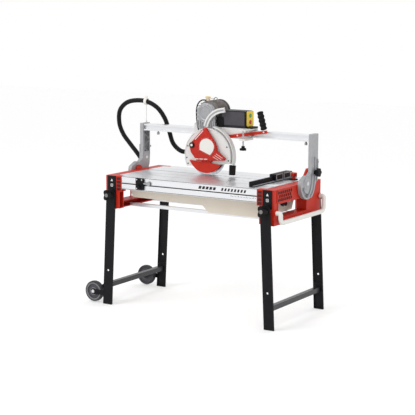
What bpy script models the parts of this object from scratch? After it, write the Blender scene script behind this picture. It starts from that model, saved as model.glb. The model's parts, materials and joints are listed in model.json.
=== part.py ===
"""Bridge-type wet tile saw on folding legs.

Metres, +Z up. +X runs along the table and the bridge rail, -Y is the operator's side.
Every shape is drawn in the machine's own frame, whose X = 0 is the middle of the table, and the
empty "machine" then moves the whole saw so that X = 0 is the middle of its overall length.
"""

from math import cos, pi, radians, sin

import bmesh
import bpy
from mathutils import Vector
from mathutils.geometry import interpolate_bezier

# ---- driving dimensions -------------------------------------------------------------------
FIT = 0.0003  # gap between touching faces
RUN = 0.0005  # radial clearance of a turning fit
TABLE_TOP = 0.800
CASTING_OUT = 0.5835  # outer faces of the two end castings
CASTING_DEEP = 0.068  # how far a casting's side frame reaches inwards
CASTING_WALL = 0.006
POST_IN = CASTING_OUT - 0.1135  # inner side of the corner posts
POST_WIDE = 0.045  # along Y
POST_LOW_IN = POST_IN + 0.0165  # inner side of the posts below the table edge
POST_STEP_Z = 0.705
HALF_WIDTH = 0.2805  # outer faces of the castings along Y
CASTING_BOTTOM = 0.595
WINDOW_Y = (-0.235, 0.105)
WINDOW_Z = (0.636, 0.716)
APRON_HIGH = 0.080
APRON_END = CASTING_OUT - 0.0715
APRON_THICK = POST_WIDE - 0.002
PLATE_THICK = 0.014
SLOT_Y = 0.055  # the blade's plane and the tilt axis
SLOT_WIDE = 0.016  # wide enough for the blade at full tilt
TRAY_WALL = 0.004
TRAY_HALF_WIDE = 0.200
TRAY_END = CASTING_OUT - 0.1355
DRAIN = (0.045, 0.672)  # middle of the drain hole, in the Y-Z plane
DRAIN_R = 0.0125
TIE_Y = 0.120
TIE_SIZE = 0.020
TUBE_R = 0.0135  # carrying handle
HANDLE_X = CASTING_OUT + 0.0315
# legs
PIVOT_X = CASTING_OUT - 0.0435
PIVOT_Z = 0.683
LEG_FOOT_X = PIVOT_X + 0.033
LEG_WIDE = 0.064
LEG_THICK = 0.012
LEG_SKIN = 0.003
LEFT_LEG_Y = HALF_WIDTH + 0.0045  # inner face of the left legs; the right frame folds outside it
RIGHT_LEG_Y = LEFT_LEG_Y + LEG_THICK + 0.002
STUD_R = 0.006
KNOB_R = 0.034
CROSSBAR = 0.030
CROSSBAR_Z = 0.122
WHEEL_R = 0.064
WHEEL_WIDE = 0.030
WHEEL_X = -(LEG_FOOT_X + 0.106)
WHEEL_Y = 0.280
WHEEL_LIFT = 0.004
AXLE_R = 0.008
# bridge
UPRIGHT_IN = CASTING_OUT + 0.0025
UPRIGHT_THICK = 0.025
UPRIGHT_Y = (0.115, 0.190)
UPRIGHT_TOP = 1.080
FOOT = (0.070, 0.790)  # middle of the round foot, in the Y-Z plane
FOOT_R = 0.085
TILT_STUD_R = 0.012
LOCKS = {-1: (0.075, -20.0), 1: (0.110, 30.0)}  # each lock knob's distance and angle from the tilt axis
LOCK_STUD_R = 0.005
RAIL_Y = (0.120, 0.185)
RAIL_Z = (1.035, 1.075)
GROOVE_Z = (1.044, 1.066)
GROOVE_DEEP = 0.012
# carriage and head
CARRIAGE_X = (-0.200, 0.200)
CARRIAGE_GAP = 0.0035
CARRIAGE_WALL = 0.0085
CARRIAGE_TOP = 1.0825
ROLLER_R = 0.0095
HEAD_PLATE_Z = (1.0835, 1.0895)
HINGE_X = -0.190
HINGE_Z = 1.0955
BARREL_R = 0.0085
BLADE_X = -0.065
BLADE_Z = 0.917
BLADE_R = 0.125
BLADE_THICK = 0.0022
SPINDLE_R = 0.0085
FLANGE_R = 0.026
MOTOR_X = -0.100
MOTOR_Z = 1.170
MOTOR_R = 0.070
MOTOR_Y = (0.1048, 0.265)
CASE_Y = (0.0820, 0.1045)
CASE_TOP_R = 0.062
CASE_LOW_R = 0.046
PULLEY_Y = (0.0880, 0.1000)
MOTOR_PULLEY_R = 0.022
BLADE_PULLEY_R = 0.026
BELT_THICK = 0.004
GUARD_Y = (0.0465, 0.0785)
GUARD_R = 0.165
FENDER_R = 0.183
COVER_Y = (0.0180, 0.0340)
SKIRT_Y = (0.0360, 0.0440)
FLAP_Y = (0.0470, 0.0630)
LEVER_Y = (0.0885, 0.1005)
SCREW_X = 0.197
SCREW_Y = 0.026
SCREW_KNOB_R = 0.0205
SCREW_R = 0.005
SWITCH_X = (-0.022, 0.165)
SWITCH_Y = (0.103, 0.190)
SWITCH_TOP = 1.192
# fence
FENCE_X = 0.398
HUB = (0.470, 0.155)
# hose
HOSE_R = 0.0148
HOSE_START = (-CASTING_OUT - 0.0375, 0.237, 0.7571)
CLIP = (-UPRIGHT_IN - 0.010, 0.165, 1.213)
HOSE_END = (-0.2290, 0.226, 1.0560)
HOSE_ROUTE = [
    (-0.6213, 0.237, 0.7574), (-0.658, 0.237, 0.794), (-0.704, 0.234, 0.857), (-0.765, 0.228, 0.925),
    (-0.816, 0.219, 0.990),
    (-0.838, 0.208, 1.060), (-0.822, 0.192, 1.140), (-0.765, 0.178, 1.192), (-0.690, 0.168, 1.214),
    (-0.596, 0.165, 1.213), (-0.520, 0.176, 1.176), (-0.480, 0.200, 1.110), (-0.462, 0.222, 1.030),
    (-0.440, 0.236, 0.950), (-0.385, 0.243, 0.905), (-0.325, 0.242, 0.910), (-0.275, 0.236, 0.950),
    (-0.238, 0.228, 0.992), (-0.229, 0.226, 1.026),
]

saw_length = (WHEEL_X - WHEEL_R, HANDLE_X + TUBE_R)
SHIFT_X = -(saw_length[0] + saw_length[1]) / 2


# ---- making shapes ------------------------------------------------------------------------
def clear_scene():
    for thing in list(bpy.data.objects):
        bpy.data.objects.remove(thing)


def placed(axis, u, v, along):
    """Point from its two coordinates in the plane across an axis and its place along it."""
    return {"X": (along, u, v), "Y": (u, along, v), "Z": (u, v, along)}[axis]


def outward(shape):
    bmesh.ops.recalc_face_normals(shape, faces=shape.faces[:])
    return shape


def slab(axis, span, outline, holes=()):
    """An outline, with holes, drawn across an axis and carried along it over a span."""
    shape = bmesh.new()
    low, high = sorted(span)
    rings, edges = [], []
    for loop in (outline, *holes):
        ring = [shape.verts.new(placed(axis, u, v, low)) for u, v in loop]
        rings.append(ring)
        edges += [shape.edges.new(pair) for pair in zip(ring, ring[1:] + ring[:1])]
    if holes:
        bmesh.ops.triangle_fill(shape, edges=edges, use_beauty=True)
    else:
        shape.faces.new(rings[0])
    far = bmesh.ops.extrude_face_region(shape, geom=shape.faces[:])["geom"]
    step = Vector(placed(axis, 0, 0, high - low))
    bmesh.ops.translate(shape, verts=[v for v in far if isinstance(v, bmesh.types.BMVert)], vec=step)
    return outward(shape)


def box(x, y, z):
    return slab("Z", z, rectangle(x, y))


def lathe(axis, centre, profile, sides=24):
    """A closed (radius, place along the axis) profile turned about an axis through centre."""
    shape = bmesh.new()
    rings = []
    for radius, along in profile:
        if radius == 0:
            rings.append([shape.verts.new(placed(axis, *centre, along))] * sides)
            continue
        ring = []
        for step in range(sides):
            angle = 2 * pi * step / sides
            u, v = centre[0] + radius * cos(angle), centre[1] + radius * sin(angle)
            ring.append(shape.verts.new(placed(axis, u, v, along)))
        rings.append(ring)
    for near, far in zip(rings, rings[1:] + rings[:1]):
        for step in range(sides):
            after = (step + 1) % sides
            corners = dict.fromkeys((near[step], near[after], far[after], far[step]))
            if len(corners) > 2:
                shape.faces.new(corners)
    return outward(shape)


def rod(start, end, radius, sides=16):
    """A round bar between two points."""
    shape = bmesh.new()
    start, end = Vector(start), Vector(end)
    turn = (end - start).to_track_quat("Z", "Y").to_matrix().to_4x4()
    turn.translation = (start + end) / 2
    bmesh.ops.create_cone(shape, cap_ends=True, segments=sides, radius1=radius, radius2=radius,
                          depth=(end - start).length, matrix=turn)
    return outward(shape)


def drum(axis, centre, radius, span, sides=24):
    low, high = sorted(span)
    return lathe(axis, centre, [(0, low), (radius, low), (radius, high), (0, high)], sides)


def rectangle(u, v):
    return [(u[0], v[0]), (u[1], v[0]), (u[1], v[1]), (u[0], v[1])]


def arc(centre, radius, start, end, steps=12):
    """Points round a circle, from one angle in degrees to another."""
    angles = [radians(start + (end - start) * step / steps) for step in range(steps + 1)]
    return [(centre[0] + radius * cos(a), centre[1] + radius * sin(a)) for a in angles]


def circle(centre, radius, sides=24):
    return arc(centre, radius, 0, 360, sides)[:-1]


def ring_sector(centre, inner, outer, start, end, steps=12):
    return arc(centre, outer, start, end, steps) + arc(centre, inner, end, start, steps)


def hull_of_two(first, first_r, second, second_r, steps=12):
    """The band that would run round two circles, the second one below the first."""
    across = Vector(second) - Vector(first)
    heading = math_angle(across)
    lean = math_acos((first_r - second_r) / across.length)
    round_first = arc(first, first_r, heading + lean, heading + 360 - lean, steps)
    round_second = arc(second, second_r, heading - lean, heading + lean, steps)
    return round_first + round_second


def math_angle(step):
    return Vector((1, 0)).angle_signed(step) * -180 / pi


def math_acos(value):
    return Vector((value, (1 - value * value) ** 0.5)).angle(Vector((1, 0))) * 180 / pi


def mirrored(shape, side):
    """The same shape on the other side of X = 0 when side is -1."""
    if side < 0:
        bmesh.ops.scale(shape, vec=(-1, 1, 1), verts=shape.verts)
    return outward(shape)


def flipped(shape, side):
    """The same shape on the other side of Y = 0 when side is -1."""
    if side < 0:
        bmesh.ops.scale(shape, vec=(1, -1, 1), verts=shape.verts)
    return outward(shape)


# ---- materials and objects ----------------------------------------------------------------
FINISHES = {
    "red_paint": ((0.55, 0.03, 0.02), 0.35, 0.0),
    "aluminium": ((0.72, 0.73, 0.75), 0.38, 1.0),
    "cast_alloy": ((0.55, 0.56, 0.58), 0.5, 0.8),
    "white_paint": ((0.80, 0.79, 0.76), 0.4, 0.0),
    "cream_plastic": ((0.80, 0.74, 0.62), 0.5, 0.0),
    "black_steel": ((0.025, 0.025, 0.028), 0.45, 0.0),
    "black_plastic": ((0.03, 0.03, 0.03), 0.55, 0.0),
    "dark_casing": ((0.10, 0.10, 0.12), 0.5, 0.0),
    "grey_rubber": ((0.20, 0.20, 0.21), 0.8, 0.0),
    "black_rubber": ((0.02, 0.02, 0.02), 0.8, 0.0),
    "steel": ((0.62, 0.62, 0.63), 0.3, 1.0),
    "green_plastic": ((0.03, 0.35, 0.08), 0.45, 0.0),
}


def finish(name):
    made = bpy.data.materials.get(name)
    if made:
        return made
    colour, roughness, metallic = FINISHES[name]
    made = bpy.data.materials.new(name)
    made.use_nodes = True
    shader = made.node_tree.nodes["Principled BSDF"]
    shader.inputs["Base Color"].default_value = (*colour, 1)
    shader.inputs["Roughness"].default_value = roughness
    shader.inputs["Metallic"].default_value = metallic
    return made


def put(name, shape, pivot, parent):
    mesh = bpy.data.meshes.new(name)
    bmesh.ops.translate(shape, verts=shape.verts, vec=[-value for value in pivot])
    shape.to_mesh(mesh)
    shape.free()
    thing = bpy.data.objects.new(name, mesh)
    thing.location = pivot
    thing.parent = parent
    bpy.context.scene.collection.objects.link(thing)
    return thing


def node(name, shape, finish_name, pivot=(0, 0, 0), join=(), cut=()):
    """One sub-part; join and cut hold the shapes added to it and taken from it."""
    thing = put(name, shape, pivot, machine)
    material = finish(finish_name)
    thing.data.materials.append(material)
    tools = [("UNION", other) for other in join] + [("DIFFERENCE", other) for other in cut]
    for number, (operation, other) in enumerate(tools):
        helper = put(f"{name}_{operation.lower()}_{number}", other, (0, 0, 0), machine)
        helper.data.materials.append(material)
        helper.hide_render = True
        helper.display_type = "WIRE"
        step = thing.modifiers.new(operation.title(), "BOOLEAN")
        step.operation = operation
        step.object = helper
    thing.data.shade_smooth()
    thing.data.set_sharp_from_angle(angle=radians(35))
    return thing


def tube(name, points, radius, finish_name, resolution=3):
    """A tube along points, with filled ends."""
    path = bpy.data.curves.new(name, "CURVE")
    path.dimensions = "3D"
    path.bevel_depth = radius
    path.bevel_resolution = resolution
    path.use_fill_caps = True
    spline = path.splines.new("POLY")
    spline.points.add(len(points) - 1)
    for point, place in zip(spline.points, points):
        point.co = (*place, 1)
    thing = bpy.data.objects.new(name, path)
    thing.parent = machine
    path.materials.append(finish(finish_name))
    bpy.context.scene.collection.objects.link(thing)
    return thing


# ---- table --------------------------------------------------------------------------------
def end_casting(name, side):
    """A side frame with a window, hollowed from inside, two corner posts and the tilt pivot."""
    inner = CASTING_OUT - CASTING_DEEP
    top = TABLE_TOP - 0.002
    y = (-HALF_WIDTH, HALF_WIDTH)
    frame = slab("X", (inner, CASTING_OUT), rectangle(y, (CASTING_BOTTOM, top)),
                 [rectangle(WINDOW_Y, WINDOW_Z)])
    posts = []
    for low in (-HALF_WIDTH, HALF_WIDTH - POST_WIDE):
        wide = (low, low + POST_WIDE)
        posts.append(box((POST_IN, inner + 0.01), wide, (POST_STEP_Z, top)))
        posts.append(box((POST_LOW_IN, inner + 0.01), wide, (CASTING_BOTTOM + 0.005, POST_STEP_Z + 0.01)))
    wall = CASTING_OUT - CASTING_WALL
    ear_outline = [(SLOT_Y - 0.03, top - 0.01), *arc((SLOT_Y, TABLE_TOP), 0.024, 150, 60, 5)]
    if side > 0:
        ear_outline += [(0.115, 0.878), (0.172, 0.878), (0.185, 0.86), (0.200, top - 0.01)]
    else:
        ear_outline += [(SLOT_Y + 0.024, TABLE_TOP + 0.01), (SLOT_Y + 0.03, top - 0.01)]
    ear = slab("X", (CASTING_OUT - 0.014, CASTING_OUT), ear_outline)
    stud = drum("X", (SLOT_Y, TABLE_TOP), TILT_STUD_R,
                (CASTING_OUT - 0.01, UPRIGHT_IN + UPRIGHT_THICK + 0.004), 20)
    pockets = [
        box((inner - 0.02, wall), (-0.222, 0.100), (WINDOW_Z[1] + 0.006, top - 0.006)),
        box((inner - 0.02, wall), (-0.222, 0.100), (CASTING_BOTTOM + 0.006, WINDOW_Z[0] - 0.006)),
        box((inner - 0.02, wall), (0.111, 0.229), (CASTING_BOTTOM + 0.006, top - 0.012)),
    ]
    for low in (-HALF_WIDTH + 0.006, HALF_WIDTH - POST_WIDE + 0.006):
        pockets.append(box((POST_IN - 0.02, wall), (low, low + POST_WIDE - 0.012),
                           (POST_STEP_Z + 0.006, top - 0.012)))
        pockets.append(box((POST_LOW_IN - 0.02, wall), (low, low + POST_WIDE - 0.012),
                           (CASTING_BOTTOM + 0.012, POST_STEP_Z - 0.006)))
    lock_r, lock_angle = LOCKS[side]
    slot = slab("X", (CASTING_OUT - 0.03, CASTING_OUT + 0.01),
                ring_sector((SLOT_Y, TABLE_TOP), lock_r - LOCK_STUD_R - 0.0015,
                            lock_r + LOCK_STUD_R + 0.0015, lock_angle - 51, lock_angle + 6))
    return node(name, mirrored(frame, side), "red_paint",
                join=[mirrored(shape, side) for shape in (*posts, ear, stud)],
                cut=[mirrored(shape, side) for shape in (*pockets, slot)])


def apron(name, side):
    """Table-edge extrusion with a long groove on its outer face."""
    outer = HALF_WIDTH - 0.002
    inner = outer - APRON_THICK
    low, high = TABLE_TOP - APRON_HIGH, TABLE_TOP
    outline = [(outer, low), (outer, low + 0.033), (outer - 0.004, low + 0.035),
               (outer - 0.004, low + 0.038), (outer, low + 0.040), (outer, high - 0.003),
               (outer - 0.003, high), (inner, high), (inner, high - PLATE_THICK - 0.010),
               (inner - 0.022, high - PLATE_THICK - 0.010), (inner - 0.022, high - PLATE_THICK - 0.016),
               (outer - 0.008, high - PLATE_THICK - 0.016), (outer - 0.008, low + 0.008),
               (inner + 0.004, low + 0.008), (inner + 0.004, low)]
    shape = slab("X", (-POST_IN + FIT, POST_IN - FIT), outline)
    return node(name, flipped(shape, side), "aluminium")


def table_plate(name, span, grooves):
    """Table top with shallow grooves along its length."""
    low, high = TABLE_TOP - PLATE_THICK, TABLE_TOP
    top = []
    for place in grooves:
        top += [(place - 0.002, high), (place - 0.001, high - 0.0015),
                (place + 0.001, high - 0.0015), (place + 0.002, high)]
    outline = [(span[0], low), (span[0], high), *top, (span[1], high), (span[1], low)]
    return node(name, slab("X", (-APRON_END, APRON_END), outline), "aluminium")


def water_tray():
    """Open basin with a deep sump at its right end, as one folded sheet with a wall thickness."""
    floor = [(-TRAY_END, 0.664), (0.050, 0.657), (0.090, 0.6165), (TRAY_END - 0.008, 0.6165)]
    rim_z = 0.712
    left, right = (-TRAY_END - 0.014, rim_z), (TRAY_END + 0.010, rim_z)
    path = [left, *floor, right]
    shape = bmesh.new()
    near, far = [], []
    for x, z in path:
        draw_in = 0.012 * (rim_z - z) / 0.1
        near.append(shape.verts.new((x, -TRAY_HALF_WIDE + draw_in, z)))
        far.append(shape.verts.new((x, TRAY_HALF_WIDE - draw_in, z)))
    for step in range(len(path) - 1):
        shape.faces.new((near[step], near[step + 1], far[step + 1], far[step]))
    shape.faces.new(near)
    shape.faces.new(far)
    outward(shape)
    tray = node("water_tray", shape, "cream_plastic")
    wall = tray.modifiers.new("Wall", "SOLIDIFY")
    wall.thickness = TRAY_WALL
    wall.offset = -1
    bore = rod((TRAY_END - 0.018, *DRAIN), (TRAY_END + 0.032, *DRAIN), DRAIN_R)
    hole = put("water_tray_hole", bore, (0, 0, 0), machine)
    hole.hide_render = True
    hole.display_type = "WIRE"
    step = tray.modifiers.new("Drain", "BOOLEAN")
    step.object = hole
    return tray


def drain_plug():
    stem, seat = DRAIN_R - 0.001, DRAIN_R + 0.0055
    profile = [(0, -0.012), (stem, -0.012), (stem + 0.0003, 0.009), (seat, 0.0095), (seat, 0.016),
               (DRAIN_R + 0.0005, 0.018), (DRAIN_R + 0.0005, 0.034), (0, 0.034)]
    shape = lathe("X", DRAIN, [(radius, TRAY_END + along) for radius, along in profile])
    node("drain_plug", shape, "dark_casing", pivot=(TRAY_END + 0.012, *DRAIN))


def pump():
    shape = drum("Z", (0.300, 0.100), 0.034, (0.6212, 0.672), 20)
    spout = rod((0.300, 0.100, 0.66), (0.300, 0.100, 0.700), 0.008, 12)
    node("pump", shape, "black_plastic", join=[spout])


def tie_bar(name, side):
    inner = CASTING_OUT - CASTING_DEEP - FIT
    y = side * TIE_Y
    node(name, box((-inner, inner), (y - TIE_SIZE / 2, y + TIE_SIZE / 2), (0.5955, 0.6155)), "aluminium")


def carry_handle():
    """Bent tube below the right end: two short ends into the casting and rounded corners."""
    face = CASTING_OUT + FIT
    y_front, y_rear, low, bend = 0.0185 - HALF_WIDTH, HALF_WIDTH - 0.0155, 0.612, 0.032
    points = [(face, y_front, 0.668), (HANDLE_X - 0.006, y_front, 0.668), (HANDLE_X, y_front, 0.660)]
    points += [(HANDLE_X, y, z) for y, z in arc((y_front + bend, low + bend), bend, 180, 270, 6)]
    points += [(HANDLE_X, y, z) for y, z in arc((y_rear - bend, low + bend), bend, 270, 360, 6)]
    points += [(HANDLE_X, y_rear, 0.692), (HANDLE_X - 0.006, y_rear, 0.700), (face, y_rear, 0.700)]
    tube("carry_handle", points, TUBE_R, "white_paint")


def hose_junction():
    """Small box on the left casting with a slanting gland for the hose."""
    face = -CASTING_OUT - FIT
    outline = [(face, 0.695), (face, 0.750), (face - 0.008, 0.750), (face - 0.030, 0.728), (face - 0.030, 0.695)]
    shape = slab("Y", (0.212, 0.262), outline)
    gland = rod((face - 0.012, 0.237, 0.732), HOSE_START, HOSE_R + 0.0025, 16)
    node("hose_junction", shape, "black_plastic", join=[gland])


# ---- legs ---------------------------------------------------------------------------------
def leg(name, side, face_y):
    """Flat channel, round at the pivot, splayed outwards and cut level at the floor.

    side is +1 for the right end of the saw, and the sign of face_y tells front from rear."""
    near = 1 if face_y > 0 else -1
    lean = (LEG_FOOT_X - PIVOT_X) / PIVOT_Z
    half = LEG_WIDE / 2
    outline = [(LEG_FOOT_X - half, 0), (LEG_FOOT_X + half, 0)]
    outline += arc((PIVOT_X, PIVOT_Z), half, -2, 182, 12)
    stud_hole = circle((PIVOT_X, PIVOT_Z), STUD_R + RUN, 16)
    spot_z = 0.214
    spot = circle((LEG_FOOT_X - lean * spot_z, spot_z), 0.006, 12)
    skin = (face_y, face_y + near * LEG_THICK)
    shape = slab("Y", skin, outline, [stud_hole, spot])
    inset = 0.004
    deep = (face_y - near * 0.002, face_y + near * (LEG_THICK - LEG_SKIN))
    clear = half - inset

    def hollow(low, high):
        low_x, high_x = LEG_FOOT_X - lean * low, LEG_FOOT_X - lean * high
        return slab("Y", deep, [(low_x - clear, low), (low_x + clear, low), (high_x + clear, high),
                                (high_x - clear, high)])

    recess, low_recess = hollow(0.165, PIVOT_Z - 0.07), hollow(0.006, 0.095)
    pivot = (side * PIVOT_X, face_y, PIVOT_Z)
    node(name, mirrored(shape, side), "black_steel", pivot,
         cut=[mirrored(recess, side), mirrored(low_recess, side)])


def crossbar(name, side, face_y):
    lean = (LEG_FOOT_X - PIVOT_X) / PIVOT_Z
    x = side * (LEG_FOOT_X - lean * CROSSBAR_Z)
    half = CROSSBAR / 2
    reach = face_y - FIT
    outer = rectangle((x - half, x + half), (CROSSBAR_Z - half, CROSSBAR_Z + half))
    inner = rectangle((x - half + 0.002, x + half - 0.002), (CROSSBAR_Z - half + 0.002, CROSSBAR_Z + half - 0.002))
    node(name, slab("Y", (-reach, reach), outer, [inner]), "black_steel", (side * PIVOT_X, 0, PIVOT_Z))


def wheel_bracket(name, side):
    """Arm from the left crossbar out to the wheel, with the axle on its end."""
    lean = (LEG_FOOT_X - PIVOT_X) / PIVOT_Z
    root_x = -(LEG_FOOT_X - lean * CROSSBAR_Z) - CROSSBAR / 2 - FIT
    wheel_z = WHEEL_R + WHEEL_LIFT
    outline = [(root_x, CROSSBAR_Z + 0.015), (root_x, CROSSBAR_Z - 0.015)]
    outline += arc((WHEEL_X, wheel_z), 0.017, 290, 110, 8)
    inner = WHEEL_Y - WHEEL_WIDE / 2
    arm = slab("Y", (side * (inner - 0.008), side * (inner - 0.002)), outline)
    foot = box((root_x - 0.004, root_x), (side * (inner - 0.045), side * (inner - 0.003)),
               (CROSSBAR_Z - 0.0149, CROSSBAR_Z + 0.0149))
    axle_end = WHEEL_Y + WHEEL_WIDE / 2 + 0.010
    axle = drum("Y", (WHEEL_X, wheel_z), AXLE_R, (side * (inner - 0.004), side * axle_end), 16)
    node(name, arm, "black_steel", (-PIVOT_X, 0, PIVOT_Z), join=[foot, axle])


def wheel(name, side):
    """Disc wheel with a sunk face and a hub, bored for its axle."""
    wheel_z = WHEEL_R + WHEEL_LIFT
    bore = AXLE_R + RUN
    low, high = WHEEL_Y - WHEEL_WIDE / 2, WHEEL_Y + WHEEL_WIDE / 2
    profile = [(bore, low), (0.022, low), (0.024, low + 0.006), (0.046, low + 0.006), (0.050, low),
               (WHEEL_R - 0.004, low), (WHEEL_R, low + 0.005), (WHEEL_R, high - 0.005), (WHEEL_R - 0.004, high),
               (0.050, high), (0.046, high - 0.006), (0.024, high - 0.006), (0.022, high), (bore, high)]
    shape = lathe("Y", (WHEEL_X, wheel_z), profile)
    node(name, flipped(shape, side), "grey_rubber", (WHEEL_X, side * WHEEL_Y, wheel_z))


def lobed(centre, radius, lobes, depth, steps=32):
    """A knob's outline: a circle whose radius swells once for each lobe."""
    points = []
    for step in range(steps):
        angle = 2 * pi * step / steps
        reach = radius - depth * (0.5 - 0.5 * cos(lobes * angle))
        points.append((centre[0] + reach * cos(angle), centre[1] + reach * sin(angle)))
    return points


def leg_knob(name, side, face_y):
    """Lobed clamping knob with its stud through the leg's pivot hole."""
    near = 1 if face_y > 0 else -1
    centre = (side * PIVOT_X, PIVOT_Z)
    outer = face_y + near * (LEG_THICK + FIT)
    body = slab("Y", (outer + near * 0.020, outer + near * 0.042), lobed(centre, KNOB_R, 3, 0.016))
    boss = drum("Y", centre, 0.0115, (outer, outer + near * 0.024), 16)
    stud = drum("Y", centre, STUD_R, (near * (HALF_WIDTH + FIT), outer + near * 0.01), 16)
    node(name, body, "black_plastic", (centre[0], outer, centre[1]), join=[boss, stud])


# ---- bridge -------------------------------------------------------------------------------
def lock_place(side):
    radius, angle = LOCKS[side]
    return SLOT_Y + radius * cos(radians(angle)), TABLE_TOP + radius * sin(radians(angle))


def upright(name, side):
    """Bridge column whose foot is a quadrant round the tilt pivot, with two raised curved ribs."""
    pivot = (SLOT_Y, TABLE_TOP)
    front, rear = UPRIGHT_Y
    x = (UPRIGHT_IN, UPRIGHT_IN + UPRIGHT_THICK)
    outline = [(front, UPRIGHT_TOP), (front, 0.900), (front - 0.006, 0.862)]
    outline += arc(pivot, 0.045, 60, 110, 4)
    outline += arc(FOOT, FOOT_R, 160, 320, 16)
    outline += [(rear - 0.006, 0.815), (rear, 0.860), (rear, UPRIGHT_TOP)]
    hole = circle(pivot, TILT_STUD_R + RUN, 20)
    lock_hole = circle(lock_place(side), LOCK_STUD_R + RUN, 16)
    shape = slab("X", x, outline, [hole, lock_hole])
    hollow = box((x[0] - 0.01, x[1] - 0.004), (front + 0.004, rear - 0.004), (0.900, 1.030))
    hollow_foot = slab("X", (x[1] - 0.010, x[1] + 0.01), ring_sector(FOOT, 0.052, 0.074, 190, 300, 10))
    node(name, mirrored(shape, side), "cast_alloy", (side * UPRIGHT_IN, *pivot),
         cut=[mirrored(hollow, side), mirrored(hollow_foot, side)])


def bridge_rail():
    """Hollow rail with a roller groove along each face."""
    y0, y1 = RAIL_Y
    z0, z1 = RAIL_Z
    g0, g1 = GROOVE_Z
    d = GROOVE_DEEP
    outline = [(y0, z0), (y1, z0), (y1, g0), (y1 - d, g0), (y1 - d, g1), (y1, g1), (y1, z1),
               (y0, z1), (y0, g1), (y0 + d, g1), (y0 + d, g0), (y0, g0)]
    inner = rectangle((y0 + d + 0.004, y1 - d - 0.004), (z0 + 0.004, z1 - 0.004))
    reach = UPRIGHT_IN - FIT
    node("bridge_rail", slab("X", (-reach, reach), outline, [inner]), "aluminium", (0, SLOT_Y, TABLE_TOP))


def tilt_knob(name, side):
    centre = lock_place(side)
    face = UPRIGHT_IN + UPRIGHT_THICK + FIT
    body = slab("X", (face + 0.012, face + 0.034), lobed(centre, 0.026, 5, 0.006))
    boss = drum("X", centre, 0.012, (face, face + 0.016), 16)
    stud = drum("X", centre, LOCK_STUD_R, (CASTING_OUT - 0.012, face + 0.01), 16)
    node(name, mirrored(body, side), "black_plastic", (side * face, *centre),
         join=[mirrored(boss, side), mirrored(stud, side)])


def hose_support():
    """Springy wire standing on the left upright, with a ring that holds the hose."""
    x, y = -UPRIGHT_IN - 0.010, 0.165
    foot = drum("Z", (x, y), 0.005, (UPRIGHT_TOP + FIT, UPRIGHT_TOP + 0.012), 12)
    near, far = CLIP[0] - 0.005, CLIP[0] + 0.005
    inner, outer = HOSE_R + 0.0032, HOSE_R + 0.0062
    wire = rod((x, y, UPRIGHT_TOP + 0.002), (x, y, CLIP[2] - inner - 0.001), 0.0022, 8)
    ring = lathe("X", CLIP[1:], [(inner, near), (outer, near), (outer, far), (inner, far)], 20)
    node("hose_support", ring, "white_paint", (0, SLOT_Y, TABLE_TOP), join=[wire, foot])


# ---- carriage and head --------------------------------------------------------------------
def carriage():
    """Bent plate that straddles the rail, with hinge lugs on the left and the depth-screw arm."""
    y0, y1 = RAIL_Y[0] - CARRIAGE_GAP, RAIL_Y[1] + CARRIAGE_GAP
    low, roof = 1.026, CARRIAGE_TOP - 0.005
    wall = CARRIAGE_WALL
    outline = [(y0 - wall, low), (y0, low), (y0, roof), (y1, roof), (y1, low), (y1 + wall, low),
               (y1 + wall, CARRIAGE_TOP), (y0 - wall, CARRIAGE_TOP)]
    shape = slab("X", CARRIAGE_X, outline)
    lug = [(CARRIAGE_X[0], CARRIAGE_TOP - 0.01), (HINGE_X + 0.020, CARRIAGE_TOP - 0.01),
           (HINGE_X + 0.020, CARRIAGE_TOP)]
    lug += arc((HINGE_X, HINGE_Z), 0.010, 20, 180, 8)
    hole = circle((HINGE_X, HINGE_Z), 0.005 + RUN, 16)
    lugs = [slab("Y", (low_y, low_y + wall), lug, [hole]) for low_y in (y0 - wall, y1)]
    arm = box((SCREW_X - 0.020, SCREW_X + 0.020), (SCREW_Y - 0.014, y0 - wall + 0.002), (1.026, 1.036))
    bore = drum("Z", (SCREW_X, SCREW_Y), SCREW_R + RUN, (1.0, 1.06), 16)
    x, y, z = HOSE_END
    bracket = box((x - 0.010, CARRIAGE_X[0] + 0.01), (y1 + 0.001, y + HOSE_R + 0.002), (z + 0.012, z + 0.020))
    gland = drum("Z", (x, y), HOSE_R + 0.003, (z + FIT, z + 0.024), 16)
    node("carriage", shape, "white_paint", join=[*lugs, arm, bracket, gland], cut=[bore])


def roller(name, x, side):
    """Flanged roller in the rail's groove, on a stub axle."""
    z = GROOVE_Z[0] + FIT + ROLLER_R
    y = RAIL_Y[0] + 0.001 if side < 0 else RAIL_Y[1] - 0.001
    inner = y - side * (GROOVE_DEEP - 0.002)
    outer = y + side * (0.001 + CARRIAGE_GAP - FIT)
    profile = [(0, inner), (ROLLER_R, inner), (ROLLER_R, y), (0.004, y), (0.004, outer), (0, outer)]
    shape = lathe("Y", (x, z), profile, 20)
    node(name, shape, "steel", (x, y, z))


def depth_screw():
    """Screw that sets how low the head rests, with its knob underneath."""
    knob = slab("Z", (0.968, 0.982), lobed((SCREW_X, SCREW_Y), SCREW_KNOB_R, 5, 0.004))
    stem = drum("Z", (SCREW_X, SCREW_Y), SCREW_R, (0.975, HEAD_PLATE_Z[0] - FIT), 16)
    neck = drum("Z", (SCREW_X, SCREW_Y), 0.010, (0.975, 0.994), 16)
    node("depth_screw", knob, "black_plastic", (SCREW_X, SCREW_Y, 0.98), join=[stem, neck])


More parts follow.
